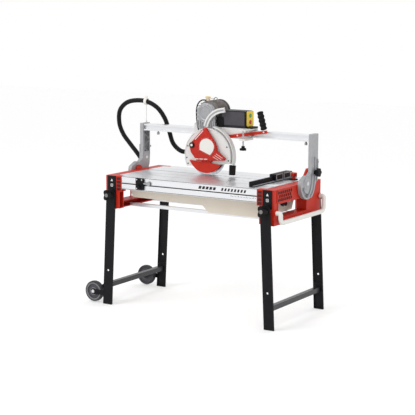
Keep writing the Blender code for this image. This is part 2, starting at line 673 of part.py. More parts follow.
def head_plate():
    """Plate that carries the motor, with its hinge barrel and the front cheek for the lever."""
    y0, y1 = 0.1068, 0.195
    z0, z1 = HEAD_PLATE_Z
    lug_low, lug_high = RAIL_Y[0] - CARRIAGE_GAP + FIT, RAIL_Y[1] + CARRIAGE_GAP - FIT
    plate = box((HINGE_X + 0.022, 0.200), (y0, y1), (z0, z1))
    tab = box((SCREW_X - 0.022, SCREW_X + 0.022), (SCREW_Y - 0.012, y0 + 0.01), (z0, z1))
    tongue = box((HINGE_X - 0.002, HINGE_X + 0.030), (lug_low, lug_high), (z0 + 0.0008, z1))
    barrel = drum("Y", (HINGE_X, HINGE_Z), BARREL_R, (lug_low, lug_high), 20)
    reach = CARRIAGE_WALL - 0.001
    pins = drum("Y", (HINGE_X, HINGE_Z), 0.005, (lug_low - reach, lug_high + reach), 16)
    cheek = box((0.000, 0.170), (0.1008, y0 + 0.0006), (1.040, z1 - 0.001))
    node("head_plate", plate, "white_paint", (HINGE_X, 0, HINGE_Z),
         join=[tab, tongue, barrel, pins, cheek])


def motor_body():
    """Motor shell open towards the belt case, on a foot that stands on the head plate."""
    low, high = MOTOR_Y
    r = MOTOR_R
    profile = [(0.052, low), (r - 0.004, low), (r, low + 0.006), (r, high - 0.040), (r + 0.002, high - 0.036),
               (r + 0.002, high - 0.014), (r - 0.010, high), (0, high), (0, high - 0.006), (0.052, high - 0.006)]
    shape = lathe("Y", (MOTOR_X, MOTOR_Z), profile)
    foot = box((MOTOR_X - 0.045, MOTOR_X + 0.045), (0.120, 0.190), (HEAD_PLATE_Z[1] + FIT, MOTOR_Z - 0.045))
    trim = drum("Y", (MOTOR_X, MOTOR_Z), 0.0519, (0.1, high - 0.006), 24)
    node("motor_body", shape, "dark_casing", (HINGE_X, 0, HINGE_Z), join=[foot], cut=[trim])


def motor_rotor():
    low, high = PULLEY_Y
    r = MOTOR_PULLEY_R
    end = MOTOR_Y[1] - 0.0063
    profile = [(0, low - 0.001), (r + 0.002, low - 0.001), (r + 0.002, low), (r, low + 0.001), (r, high),
               (0.008, high), (0.008, 0.128), (0.045, 0.128), (0.045, 0.225), (0.008, 0.225), (0.008, end),
               (0, end)]
    shape = lathe("Y", (MOTOR_X, MOTOR_Z), profile, 16)
    node("motor_rotor", shape, "steel", (MOTOR_X, 0, MOTOR_Z))


def belt_case():
    """Shell for the belt, open at the front, from the motor down to the blade's spindle."""
    top, low = (MOTOR_X, MOTOR_Z), (BLADE_X, BLADE_Z)
    outer = hull_of_two(top, CASE_TOP_R, low, CASE_LOW_R)
    cavity = hull_of_two(top, CASE_TOP_R - 0.004, low, CASE_LOW_R - 0.004)
    shape = slab("Y", CASE_Y, outer)
    room = slab("Y", (CASE_Y[0] - 0.01, CASE_Y[1] - 0.003), cavity)
    shaft_hole = drum("Y", top, 0.0105, (0.09, 0.12), 16)
    bearing = drum("Y", low, SPINDLE_R + RUN, (0.09, 0.12), 16)
    node("belt_case", shape, "cast_alloy", (HINGE_X, 0, HINGE_Z), cut=[room, shaft_hole, bearing])


def belt_cover():
    top, low = (MOTOR_X, MOTOR_Z), (BLADE_X, BLADE_Z)
    outer = hull_of_two(top, CASE_TOP_R, low, CASE_LOW_R)
    shape = slab("Y", (GUARD_Y[1] + FIT, CASE_Y[0] - FIT), outer, [circle(low, SPINDLE_R + RUN, 16)])
    node("belt_cover", shape, "cast_alloy", (HINGE_X, 0, HINGE_Z))


def drive_belt():
    """Flat belt round both pulleys."""
    top, low = (MOTOR_X, MOTOR_Z), (BLADE_X, BLADE_Z)
    inner = hull_of_two(top, MOTOR_PULLEY_R + FIT, low, BLADE_PULLEY_R + FIT)
    outer = hull_of_two(top, MOTOR_PULLEY_R + FIT + BELT_THICK, low, BLADE_PULLEY_R + FIT + BELT_THICK)
    node("drive_belt", slab("Y", (PULLEY_Y[0] + 0.0015, PULLEY_Y[1] - 0.0005), outer, [inner]), "black_rubber",
         (HINGE_X, 0, HINGE_Z))


def blade():
    half = BLADE_THICK / 2
    bore = SPINDLE_R + RUN
    profile = [(bore, SLOT_Y - half), (BLADE_R, SLOT_Y - half), (BLADE_R, SLOT_Y + half), (bore, SLOT_Y + half)]
    node("saw_blade", lathe("Y", (BLADE_X, BLADE_Z), profile, 48), "steel", (BLADE_X, SLOT_Y, BLADE_Z))


def spindle():
    """Blade shaft: the driven pulley, both clamping flanges and the end nut."""
    half = BLADE_THICK / 2 + FIT
    low, high = PULLEY_Y
    pulley, shaft, flange = BLADE_PULLEY_R, SPINDLE_R, FLANGE_R
    profile = [(0, 0.0385), (shaft, 0.0385), (shaft, 0.0465), (flange - 0.002, 0.0465), (flange, 0.0485),
               (flange, SLOT_Y - half), (shaft, SLOT_Y - half), (shaft, SLOT_Y + half), (flange, SLOT_Y + half),
               (flange, SLOT_Y + half + 0.004), (shaft, SLOT_Y + half + 0.005), (shaft, low - 0.001),
               (pulley + 0.002, low - 0.001), (pulley + 0.002, low), (pulley, low + 0.001), (pulley, high),
               (shaft, high), (shaft, 0.1040), (0, 0.1040)]
    nut = slab("Y", (0.0405, 0.0475), circle((BLADE_X, BLADE_Z), 0.015, 6))
    node("spindle", lathe("Y", (BLADE_X, BLADE_Z), profile, 18), "steel", (BLADE_X, 0, BLADE_Z), join=[nut])


def guard_housing():
    """White shell over the blade's upper part, running on as the spray fender on the right."""
    low, high = GUARD_Y
    centre = (BLADE_X, BLADE_Z)
    back = slab("Y", (high - 0.003, high), arc(centre, GUARD_R, -14, 206, 24),
                [circle(centre, SPINDLE_R + RUN + 0.002, 16)])
    rim = slab("Y", (low, high - 0.001), ring_sector(centre, GUARD_R - 0.004, GUARD_R, -14, 206, 24))
    fender_back = slab("Y", (high - 0.005, high), ring_sector(centre, GUARD_R - 0.003, FENDER_R, -15, 78, 14))
    fender_rim = slab("Y", (low, high - 0.001), ring_sector(centre, FENDER_R - 0.005, FENDER_R, -15, 78, 14))
    front = slab("Y", (low, low + 0.0025), arc(centre, GUARD_R, -14, 206, 24), [circle(centre, 0.045, 20)])
    return node("guard_housing", back, "white_paint", (HINGE_X, 0, HINGE_Z),
                join=[rim, fender_back, fender_rim, front])


def blade_cover():
    """Red door over the blade's front, pointed at the top, hinged on its right edge."""
    front, back = COVER_Y
    outline = [(-0.127, 0.884), (0.070, 0.898), (0.074, 0.912), (0.017, 0.952), (0.010, 0.985),
               (-0.004, 1.010), (-0.060, 1.086), (-0.070, 1.089), (-0.080, 1.084), (-0.142, 1.020),
               (-0.172, 0.990), (-0.180, 0.970), (-0.170, 0.935)]
    shape = slab("Y", (front, back), outline)
    centre = (-0.060, 0.960)
    inner = [(centre[0] + (x - centre[0]) * 0.93, centre[1] + (z - centre[1]) * 0.93) for x, z in outline]
    room = slab("Y", (front + 0.003, back + 0.01), inner)
    node("blade_cover", shape, "red_paint", (0.078, 0.026, 0.95), cut=[room])


def lower_guard():
    """Crescent that covers the blade's lower front and swings up about the spindle."""
    centre = (-0.072, 0.940)
    crescent = slab("Y", SKIRT_Y, arc(centre, 0.128, 206, 326, 20))
    ring = slab("Y", SKIRT_Y, circle((BLADE_X, BLADE_Z), 0.050, 24), [circle((BLADE_X, BLADE_Z), 0.028, 24)])
    node("lower_guard", crescent, "red_paint", (BLADE_X, 0.04, BLADE_Z), join=[ring])


def rubber_flap():
    outline = [(0.090, 0.812), (0.120, 0.812), (0.124, 0.866), (0.092, 0.868)]
    node("rubber_flap", slab("Y", FLAP_Y, outline), "black_rubber", (HINGE_X, 0, HINGE_Z))


def switch_box():
    x0, x1 = SWITCH_X
    base = HEAD_PLATE_Z[1] + FIT
    outline = [(x0, base), (x1, base), (x1, SWITCH_TOP - 0.004), (x1 - 0.004, SWITCH_TOP),
               (x0 + 0.030, SWITCH_TOP), (x0, SWITCH_TOP - 0.030)]
    shape = slab("Y", SWITCH_Y, outline)
    plate = slab("X", (x1 - 0.002, x1 + 0.007), rectangle((0.112, 0.182), (1.104, 1.188)))
    wells = [slab("X", (x1 + 0.001, x1 + 0.02), circle((0.147, z), 0.0125, 20)) for z in (1.126, 1.164)]
    node("switch_box", shape, "dark_casing", (HINGE_X, 0, HINGE_Z), join=[plate], cut=wells)


def push_button(name, z, finish_name):
    face = SWITCH_X[1] + 0.001
    shape = drum("X", (0.147, z), 0.012, (face + 0.0035, face + 0.011), 20)
    node(name, shape, finish_name, (face, 0.147, z))


def lever_and_grip():
    """Flat lever bar rising to the right, with the finger grip standing on its end."""
    left, right = (0.018, 1.030), (0.318, 1.080)
    bar = slab("Y", LEVER_Y, [(left[0], left[1] - 0.010), (right[0], right[1] - 0.010), (right[0], right[1] + 0.008),
                              (left[0], left[1] + 0.010)])
    node("head_lever", bar, "red_paint", (HINGE_X, 0, HINGE_Z))
    y = sum(LEVER_Y) / 2
    base, top = Vector((0.300, y, 1.0882)), Vector((0.269, y, 1.198))
    along = (top - base).normalized()
    shape = bmesh.new()
    rings = []
    waves = [(0.0, 0.019), (0.08, 0.023), (0.2, 0.0185), (0.32, 0.022), (0.44, 0.0185), (0.56, 0.022), (0.68, 0.0185),
             (0.8, 0.021), (0.93, 0.0225), (1.0, 0.014)]
    for share, radius in waves:
        middle = base.lerp(top, share)
        ring = []
        for step in range(16):
            angle = 2 * pi * step / 16
            side = Vector((along.z, 0, -along.x)) * radius * cos(angle)
            ring.append(shape.verts.new(middle + side + Vector((0, 0.8 * radius * sin(angle), 0))))
        rings.append(ring)
    for near, far in zip(rings, rings[1:]):
        for step in range(16):
            after = (step + 1) % 16
            shape.faces.new((near[step], near[after], far[after], far[step]))
    shape.faces.new(rings[0])
    shape.faces.new(rings[-1])
    node("hand_grip", outward(shape), "black_plastic", (HINGE_X, 0, HINGE_Z))


def water_valve():
    """Water tap on top of the motor with its lever."""
    y = 0.122
    base = MOTOR_Z + MOTOR_R + FIT
    stem = drum("Z", (MOTOR_X - 0.010, y), 0.013, (base, base + 0.018), 16)
    arm = box((MOTOR_X - 0.016, MOTOR_X + 0.030), (y - 0.006, y + 0.006), (base + 0.012, base + 0.019))
    node("water_valve", stem, "cream_plastic", (MOTOR_X - 0.010, y, base), join=[arm])


# ---- fence and clamp ----------------------------------------------------------------------
def fence():
    low = TABLE_TOP + FIT
    bar = box((FENCE_X, FENCE_X + 0.012), (-0.245, 0.262), (low, 0.830))
    shelf = box((FENCE_X + 0.011, FENCE_X + 0.036), (-0.245, 0.262), (low, low + 0.005))
    arm = box((FENCE_X + 0.030, HUB[0]), (HUB[1] - 0.024, HUB[1] + 0.024), (low, low + 0.005))
    eye = drum("Z", HUB, 0.024, (low, low + 0.005), 24)
    hole = drum("Z", HUB, 0.0065, (low - 0.01, low + 0.02), 16)
    node("fence_bar", bar, "black_plastic", (*HUB, low), join=[shelf, arm, eye], cut=[hole])
    y0, y1 = 0.020, 0.220
    block = slab("Y", (y0, y1), [(FENCE_X - 0.016, low + 0.002), (FENCE_X - FIT - 0.0002, low + 0.002),
                                (FENCE_X - FIT - 0.0002, 0.8305), (FENCE_X + 0.0125, 0.8305), (FENCE_X + 0.0125, 0.806),
                                (FENCE_X + 0.024, 0.806), (FENCE_X + 0.024, 0.842), (FENCE_X - 0.016, 0.842)])
    windows = [box((FENCE_X - 0.03, FENCE_X - 0.001), (y, y + 0.070), (0.8085, 0.8285)) for y in (0.035, 0.125)]
    node("stop_block", block, "black_plastic", (FENCE_X, y0, low), cut=windows)
    knob = slab("Z", (0.822, 0.842), lobed(HUB, 0.021, 6, 0.003))
    stem = drum("Z", HUB, 0.010, (low + 0.005 + FIT, 0.825), 16)
    stud = drum("Z", HUB, 0.006, (low, 0.815), 16)
    node("fence_knob", knob, "red_paint", (*HUB, low), join=[stem, stud])


def apron_clamp():
    """Sliding clamp block on the front apron with its clamping pin."""
    face = -HALF_WIDTH + 0.002 - FIT
    block = box((-0.359, -0.305), (face - 0.012, face), (0.728, 0.797))
    pin = rod((-0.332, face - 0.014, 0.750), (-0.332, face - 0.030, 0.750), 0.007, 12)
    pin_root = rod((-0.332, face - 0.008, 0.750), (-0.332, face - 0.016, 0.750), 0.004, 12)
    node("apron_clamp", block, "black_plastic", (-0.332, face, 0.76), join=[pin_root, pin])


# ---- hose ---------------------------------------------------------------------------------
def smooth_route(points, spacing):
    """Points a set distance apart on a smooth curve through the route's own points."""
    route = [Vector(point) for point in points]
    ends = [route[0] * 2 - route[1], *route, Vector(HOSE_END)]
    fine = []
    for before, start, end, after in zip(ends, ends[1:], ends[2:], ends[3:]):
        fine += interpolate_bezier(start, start + (end - before) / 6, end - (after - start) / 6, end, 16)[:-1]
    fine.append(route[-1])
    even, walked = [fine[0]], 0.0
    for near, far in zip(fine, fine[1:]):
        walked += (far - near).length
        if walked >= spacing:
            even.append(far)
            walked = 0.0
    if walked < spacing / 2:
        even.pop()
    return [*even, route[-1], Vector(HOSE_END)]


def hose():
    tube("hose", smooth_route(HOSE_ROUTE, 0.034), HOSE_R, "black_rubber", 2)


# ---- the saw ------------------------------------------------------------------------------
def build():
    for word, side in (("left", -1), ("right", 1)):
        end_casting(f"{word}_end_casting", side)
        upright(f"{word}_upright", side)
        tilt_knob(f"{word}_tilt_knob", side)
        face_y = LEFT_LEG_Y if side < 0 else RIGHT_LEG_Y
        crossbar(f"{word}_crossbar", side, face_y)
        for place, near in (("front", -1), ("rear", 1)):
            leg(f"{word}_{place}_leg", side, near * face_y)
            leg_knob(f"{word}_{place}_knob", side, near * face_y)
    for word, side in (("front", -1), ("rear", 1)):
        apron(f"{word}_apron", side)
        tie_bar(f"{word}_tie_bar", side)
        wheel_bracket(f"{word}_wheel_bracket", side)
        wheel(f"{word}_wheel", side)
    inner = HALF_WIDTH - 0.002 - APRON_THICK - FIT
    table_plate("front_table_plate", (-inner, SLOT_Y - SLOT_WIDE / 2), (-0.150, -0.060))
    table_plate("rear_table_plate", (SLOT_Y + SLOT_WIDE / 2, inner), (0.150,))
    water_tray()
    drain_plug()
    pump()
    carry_handle()
    hose_junction()
    bridge_rail()
    hose_support()
    carriage()
    roller("front_roller", -0.150, -1)
    roller("rear_roller", 0.150, 1)
    depth_screw()
    head_plate()
    motor_body()
    motor_rotor()
    belt_case()
    belt_cover()
    drive_belt()
    blade()
    spindle()
    guard_housing()
    blade_cover()
    lower_guard()
    rubber_flap()
    switch_box()
    push_button("stop_button", 1.126, "red_paint")
    push_button("start_button", 1.164, "green_plastic")
    lever_and_grip()
    water_valve()
    fence()
    apron_clamp()
    hose()


clear_scene()
machine = bpy.data.objects.new("machine", None)
bpy.context.scene.collection.objects.link(machine)
machine.location.x = SHIFT_X
build()
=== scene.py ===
import json
import math

import bmesh
import bpy
import numpy as np
from mathutils import Matrix, Vector
from mathutils.geometry import interpolate_bezier, tessellate_polygon

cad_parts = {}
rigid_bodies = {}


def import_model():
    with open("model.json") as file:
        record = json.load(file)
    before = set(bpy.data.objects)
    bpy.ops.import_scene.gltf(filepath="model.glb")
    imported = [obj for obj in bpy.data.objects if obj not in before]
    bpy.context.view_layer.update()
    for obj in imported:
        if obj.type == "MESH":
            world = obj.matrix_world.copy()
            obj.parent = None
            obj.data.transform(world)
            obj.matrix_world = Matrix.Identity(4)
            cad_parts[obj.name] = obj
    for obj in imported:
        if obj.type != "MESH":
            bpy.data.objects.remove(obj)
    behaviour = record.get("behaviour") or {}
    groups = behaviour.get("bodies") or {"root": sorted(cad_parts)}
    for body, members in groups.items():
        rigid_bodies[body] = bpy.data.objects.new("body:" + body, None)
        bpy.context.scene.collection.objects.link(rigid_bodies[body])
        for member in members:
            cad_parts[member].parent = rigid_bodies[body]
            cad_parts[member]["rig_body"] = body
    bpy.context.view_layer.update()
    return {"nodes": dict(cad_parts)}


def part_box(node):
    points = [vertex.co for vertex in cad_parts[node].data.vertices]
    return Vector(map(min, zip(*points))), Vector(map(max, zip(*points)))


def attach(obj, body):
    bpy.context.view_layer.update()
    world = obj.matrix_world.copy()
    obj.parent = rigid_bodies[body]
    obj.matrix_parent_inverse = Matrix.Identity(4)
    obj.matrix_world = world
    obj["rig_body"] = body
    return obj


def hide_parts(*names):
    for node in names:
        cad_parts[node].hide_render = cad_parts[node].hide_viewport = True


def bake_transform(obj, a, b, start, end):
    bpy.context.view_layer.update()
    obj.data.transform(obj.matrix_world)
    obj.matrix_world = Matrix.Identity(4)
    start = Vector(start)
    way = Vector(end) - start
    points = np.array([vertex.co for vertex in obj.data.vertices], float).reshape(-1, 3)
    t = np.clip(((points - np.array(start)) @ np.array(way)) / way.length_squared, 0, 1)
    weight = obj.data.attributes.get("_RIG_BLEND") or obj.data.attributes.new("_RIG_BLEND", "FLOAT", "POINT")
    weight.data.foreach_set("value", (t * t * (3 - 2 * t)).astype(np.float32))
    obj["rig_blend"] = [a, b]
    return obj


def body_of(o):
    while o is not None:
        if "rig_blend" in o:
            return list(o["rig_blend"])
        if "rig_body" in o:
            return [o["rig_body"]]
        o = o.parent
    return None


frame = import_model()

apronLow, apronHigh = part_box("front_apron")
midX = (apronLow[0] + apronHigh[0]) / 2  # middle of the table along its length
tiltAxis = (0.055, 0.800)  # Y and Z of the axis that the bridge tilts about


def at(x, y, z):
    # a place given from the middle of the table, in the row frame
    return (x + midX, y, z)


# Camera
view = {"place": at(4.084, -6.532, 1.879), "yaw": 32.23, "pitch": -9.34, "roll": 0.18, "lens": 112.45}


def aimCamera():
    camera = bpy.data.objects.new("camera", bpy.data.cameras.new("camera"))
    camera.data.lens = view["lens"]
    camera.data.sensor_width = 36
    camera.data.clip_end = 60
    turn = Matrix.Rotation(math.radians(view["yaw"]), 4, "Z")
    tip = Matrix.Rotation(math.radians(90 + view["pitch"]), 4, "X")
    camera.matrix_world = (Matrix.Translation(view["place"]) @ turn @ tip
                           @ Matrix.Rotation(math.radians(view["roll"]), 4, "Z"))
    bpy.context.scene.collection.objects.link(camera)
    bpy.context.scene.camera = camera


aimCamera()
print("camera is set")

# Finishes
# two colours that drift into each other, the span that the roughness drifts over, the size of that drift, the
# strength and size of a fine surface relief, and what else differs from a plain dielectric
finishes = {
    "redPaint": ((0.40, 0.014, 0.004), (0.52, 0.022, 0.007), (0.36, 0.50), 34, 0.06, 900, {"shine": 0.22}),
    "redPlastic": ((0.38, 0.010, 0.004), (0.50, 0.016, 0.006), (0.24, 0.34), 20, 0.04, 500, {"shine": 0.3}),
    # painted shade: a dark red standing in for the shade inside the honeycomb cells and the front pockets
    "paintedRedShade": ((0.035, 0.003, 0.002), (0.070, 0.005, 0.004), (0.4, 0.6), 60, 0.1, 700, {"shine": 0.3}),
    # painted sheen: the red plastic's louvres as they look where light catches them
    "paintedPinkSheen": ((0.62, 0.36, 0.32), (0.70, 0.44, 0.40), (0.4, 0.5), 40, 0.05, 700, {}),
    "aluminium": ((0.34, 0.347, 0.362), (0.45, 0.458, 0.475), (0.55, 0.70), 26, 0.10, 420,
                  {"metal": 0.50, "stretch": (0.04, 1, 1)}),
    "castAlloy": ((0.25, 0.253, 0.262), (0.42, 0.427, 0.44), (0.42, 0.60), 60, 0.30, 520, {"metal": 0.6}),
    "paleAlloy": ((0.29, 0.293, 0.305), (0.41, 0.416, 0.43), (0.40, 0.55), 50, 0.22, 480, {"metal": 0.4}),
    "whitePaint": ((0.62, 0.615, 0.60), (0.70, 0.695, 0.68), (0.34, 0.48), 18, 0.08, 700, {"coat": 0.1}),
    "ivory": ((0.66, 0.64, 0.60), (0.74, 0.72, 0.68), (0.3, 0.42), 14, 0.08, 600, {"coat": 0.1}),
    "creamPlastic": ((0.60, 0.53, 0.44), (0.68, 0.62, 0.53), (0.42, 0.56), 9, 0.12, 600, {}),
    "blackSteel": ((0.004, 0.004, 0.005), (0.011, 0.011, 0.013), (0.40, 0.55), 30, 0.10, 800, {"shine": 0.12}),
    "barSteel": ((0.012, 0.012, 0.015), (0.026, 0.026, 0.031), (0.26, 0.38), 30, 0.08, 800, {"shine": 0.4}),
    "blackPlastic": ((0.004, 0.004, 0.005), (0.010, 0.010, 0.011), (0.45, 0.60), 60, 0.25, 1400, {"shine": 0.12}),
    "darkCasing": ((0.012, 0.011, 0.014), (0.024, 0.022, 0.027), (0.42, 0.56), 40, 0.22, 1200, {"shine": 0.2}),
    "lidGrey": ((0.050, 0.046, 0.054), (0.075, 0.070, 0.080), (0.42, 0.56), 40, 0.22, 1200, {"shine": 0.2}),
    "motorBrown": ((0.16, 0.142, 0.135), (0.24, 0.215, 0.205), (0.40, 0.55), 30, 0.14, 700,
                   {"metal": 0.3, "shine": 0.4}),
    "wheelGrey": ((0.030, 0.029, 0.034), (0.050, 0.048, 0.056), (0.50, 0.65), 40, 0.15, 700, {"shine": 0.2}),
    "hubGrey": ((0.045, 0.043, 0.052), (0.085, 0.082, 0.095), (0.4, 0.55), 30, 0.1, 700, {"shine": 0.2}),
    "rubber": ((0.004, 0.004, 0.004), (0.011, 0.010, 0.010), (0.55, 0.75), 50, 0.3, 900, {"shine": 0.12}),
    "hoseBlack": ((0.005, 0.005, 0.006), (0.010, 0.010, 0.012), (0.38, 0.50), 40, 0.08, 900, {"shine": 0.12}),
    "steel": ((0.50, 0.50, 0.51), (0.64, 0.64, 0.65), (0.20, 0.34), 40, 0.05, 900, {"metal": 1.0}),
    "bladeSteel": ((0.36, 0.36, 0.38), (0.50, 0.50, 0.52), (0.24, 0.38), 90, 0.08, 1000, {"metal": 1.0}),
    "yellowPlastic": ((0.66, 0.46, 0.01), (0.76, 0.56, 0.02), (0.34, 0.46), 20, 0.05, 800, {}),
    "tapYellow": ((0.62, 0.47, 0.22), (0.70, 0.55, 0.30), (0.36, 0.48), 20, 0.05, 800, {}),
    "greenPlastic": ((0.01, 0.18, 0.04), (0.02, 0.25, 0.06), (0.25, 0.35), 20, 0.03, 800, {"coat": 0.3}),
    # painted shade: the dark of grooves, vent slots and window openings
    "paintedGapShade": ((0.008, 0.007, 0.007), (0.018, 0.015, 0.014), (0.6, 0.8), 40, 0.1, 700, {"shine": 0.2}),
    "inkGrey": ((0.012, 0.012, 0.015), (0.028, 0.028, 0.032), (0.4, 0.5), 30, 0.02, 900, {"shine": 0.2}),
    "markWhite": ((0.62, 0.62, 0.61), (0.70, 0.70, 0.69), (0.4, 0.5), 30, 0.02, 900, {}),
}


def finish(name):
    made = bpy.data.materials.get(name)
    if made:
        return made
    dark, pale, rough, grain, relief, reliefSize, rest = finishes[name]
    look = {"metal": 0.0, "coat": 0.0, "shine": 0.5, "stretch": (1, 1, 1)} | rest
    made = bpy.data.materials.new(name)
    made.use_nodes = True
    nodes, links = made.node_tree.nodes, made.node_tree.links
    shader = nodes["Principled BSDF"]
    shader.inputs["Metallic"].default_value = look["metal"]
    shader.inputs["Specular IOR Level"].default_value = look["shine"]
    shader.inputs["Coat Weight"].default_value = look["coat"]
    shader.inputs["Coat Roughness"].default_value = 0.18
    where = nodes.new("ShaderNodeTexCoord")
    place = nodes.new("ShaderNodeMapping")
    place.inputs["Scale"].default_value = look["stretch"]
    links.new(where.outputs["Object"], place.inputs["Vector"])

    def cloud(size, detail):
        noise = nodes.new("ShaderNodeTexNoise")
        noise.inputs["Scale"].default_value = size
        noise.inputs["Detail"].default_value = detail
        links.new(place.outputs["Vector"], noise.inputs["Vector"])
        return noise.outputs["Fac"]

    drift = nodes.new("ShaderNodeMix")
    drift.data_type = "RGBA"
    drift.inputs["A"].default_value = (*dark, 1)
    drift.inputs["B"].default_value = (*pale, 1)
    links.new(cloud(grain, 4), drift.inputs["Factor"])
    links.new(drift.outputs["Result"], shader.inputs["Base Color"])
    spread = nodes.new("ShaderNodeMapRange")
    spread.inputs["From Min"].default_value = 0.3
    spread.inputs["From Max"].default_value = 0.7
    spread.inputs["To Min"].default_value, spread.inputs["To Max"].default_value = rough
    links.new(cloud(grain * 2.3, 3), spread.inputs["Value"])
    links.new(spread.outputs["Result"], shader.inputs["Roughness"])
    bump = nodes.new("ShaderNodeBump")
    bump.inputs["Strength"].default_value = relief
    bump.inputs["Distance"].default_value = 0.0004
    links.new(cloud(reliefSize, 2), bump.inputs["Height"])
    links.new(bump.outputs["Normal"], shader.inputs["Normal"])
    return made


# Making pieces
def piece(name, shape, finishName, body, sharp=32, stands=()):
    # one mesh piece at the origin with its faces turned outwards, made of one shape or a list of them
    points, faces = joined(*shape) if isinstance(shape, list) else shape
    mesh = bpy.data.meshes.new(name)
    mesh.from_pydata((np.asarray(points, float).reshape(-1, 3) + (midX, 0, 0)).tolist(), [], faces)
    mesh.validate()
    made = bpy.data.objects.new(name, mesh)
    bpy.context.scene.collection.objects.link(made)
    dress(made, finishName, body, sharp, stands)
    solid = bmesh.new()
    solid.from_mesh(mesh)
    bmesh.ops.remove_doubles(solid, verts=solid.verts, dist=1e-6)
    bmesh.ops.recalc_face_normals(solid, faces=solid.faces)
    solid.to_mesh(mesh)
    solid.free()
    return made


def dress(made, finishName, body, sharp=32, stands=()):
    made.data.materials.clear()
    made.data.materials.append(finish(finishName))
    made.data.shade_smooth()
    made.data.set_sharp_from_angle(angle=math.radians(sharp))
    if body:
        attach(made, body)
    if stands:
        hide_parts(*stands)
    return made


def joined(*parts):
    # several (points, faces) pairs as one
    points, faces, first = [], [], 0
    for partPoints, partFaces in parts:
        flat = np.asarray(partPoints, float).reshape(-1, 3)
        points.append(flat)
        faces += [[index + first for index in face] for face in partFaces]
        first += len(flat)
    return np.vstack(points), faces


def rings(rows, cap=True):
    # closed rings in a row, quads between neighbours, a face on each end: rows is (count, around, 3)
    rows = np.asarray(rows, float)
    count, around = rows.shape[:2]
    index = np.arange(count * around).reshape(count, around)
    after = np.roll(index, -1, axis=1)
    quads = np.stack([index[:-1], after[:-1], after[1:], index[1:]], axis=-1).reshape(-1, 4).tolist()
    if cap:
        quads += [index[0][::-1].tolist(), index[-1].tolist()]
    return rows.reshape(-1, 3), quads


def torus(rows):
    # rings in a loop: the last one joins the first
    rows = np.asarray(rows, float)
    count, around = rows.shape[:2]
    index = np.arange(count * around).reshape(count, around)
    after = np.roll(index, -1, axis=1)
    quads = np.stack([index, after, np.roll(after, -1, axis=0), np.roll(index, -1, axis=0)], axis=-1)
    return rows.reshape(-1, 3), quads.reshape(-1, 4).tolist()


def across(axis, uv, along):
    # points whose two plane coordinates are uv and whose place along the axis is along
    uv = np.asarray(uv, float)
    along = np.broadcast_to(np.asarray(along, float), uv.shape[:-1])
    if axis == "X":
        return np.stack([along, uv[..., 0], uv[..., 1]], axis=-1)
    if axis == "Y":
        return np.stack([uv[..., 0], along, uv[..., 1]], axis=-1)
    return np.stack([uv[..., 0], uv[..., 1], along], axis=-1)


def inset(loop, depth):
    # the outline moved inwards by depth: each corner goes along the mean of its two edges' normals
    loop = np.asarray(loop, float)
    before, after = np.roll(loop, 1, axis=0), np.roll(loop, -1, axis=0)
    first, second = loop - before, after - loop
    first /= np.linalg.norm(first, axis=1, keepdims=True)
    second /= np.linalg.norm(second, axis=1, keepdims=True)
    turnLeft = np.array([[0, 1], [-1, 0]])
    normals = first @ turnLeft + second @ turnLeft
    area = np.sum(loop[:, 0] * after[:, 1] - after[:, 0] * loop[:, 1])
    size = np.maximum(np.sum(normals * normals, axis=1, keepdims=True), 0.6)
    return loop - np.sign(area) * 2 * depth * normals / size


def plate(axis, span, outline, edge=0.0008, holes=()):
    # an outline carried along an axis, its rim and its holes' rims chamfered by edge
    low, high = sorted(span)
    loops = [np.asarray(outline, float)] + [np.asarray(hole, float) for hole in holes]
    points, faces, first, caps = [], [], 0, []
    for number, loop in enumerate(loops):
        narrow = inset(loop, edge if number == 0 else -edge)
        rows = np.stack([across(axis, narrow, low), across(axis, loop, low + edge),
                         across(axis, loop, high - edge), across(axis, narrow, high)])
        made, quads = rings(rows, cap=False)
        points.append(made)
        faces += [[index + first for index in quad] for quad in quads]
        caps.append((first, len(loop), narrow))
        first += len(made)
    triangles = tessellate_polygon([[Vector((*corner, 0)) for corner in narrow] for _, _, narrow in caps])
    bottom = np.concatenate([np.arange(size) + start for start, size, _ in caps])
    top = np.concatenate([np.arange(size) + start + 3 * size for start, size, _ in caps])
    for triangle in triangles:
        faces.append([int(bottom[index]) for index in triangle])
        faces.append([int(top[index]) for index in reversed(triangle)])
    return np.vstack(points), faces


def arc(centre, radius, start, end, steps=16):
    angles = np.radians(np.linspace(start, end, steps + 1))
    return np.stack([centre[0] + radius * np.cos(angles), centre[1] + radius * np.sin(angles)], axis=-1)


def circle(centre, radius, sides=32):
    return arc(centre, radius, 0, 360, sides)[:-1]


def rounded(u, v, radius, steps=4):
    # a rectangle's outline with round corners
    corners = [((u[1] - radius, v[0] + radius), 270), ((u[1] - radius, v[1] - radius), 0),
               ((u[0] + radius, v[1] - radius), 90), ((u[0] + radius, v[0] + radius), 180)]
    return np.concatenate([arc(centre, radius, start, start + 90, steps) for centre, start in corners])


def turned(axis, centre, profile, sides=40):
    # a (radius, place) profile turned about an axis through centre, closed at both ends
    profile = np.asarray(profile, float)
    angles = 2 * np.pi * np.arange(sides) / sides
    uv = np.stack([centre[0] + np.outer(profile[:, 0], np.cos(angles)),
                   centre[1] + np.outer(profile[:, 0], np.sin(angles))], axis=-1)
    return rings(across(axis, uv, profile[:, 1:2]))


def ringTurned(axis, centre, profile, sides=40):
    # a closed (radius, place) loop turned about an axis: a tyre, a tube or a washer
    profile = np.asarray(profile, float)
    angles = 2 * np.pi * np.arange(sides) / sides
    uv = np.stack([centre[0] + np.outer(profile[:, 0], np.cos(angles)),
                   centre[1] + np.outer(profile[:, 0], np.sin(angles))], axis=-1)
    return torus(across(axis, uv, profile[:, 1:2]))


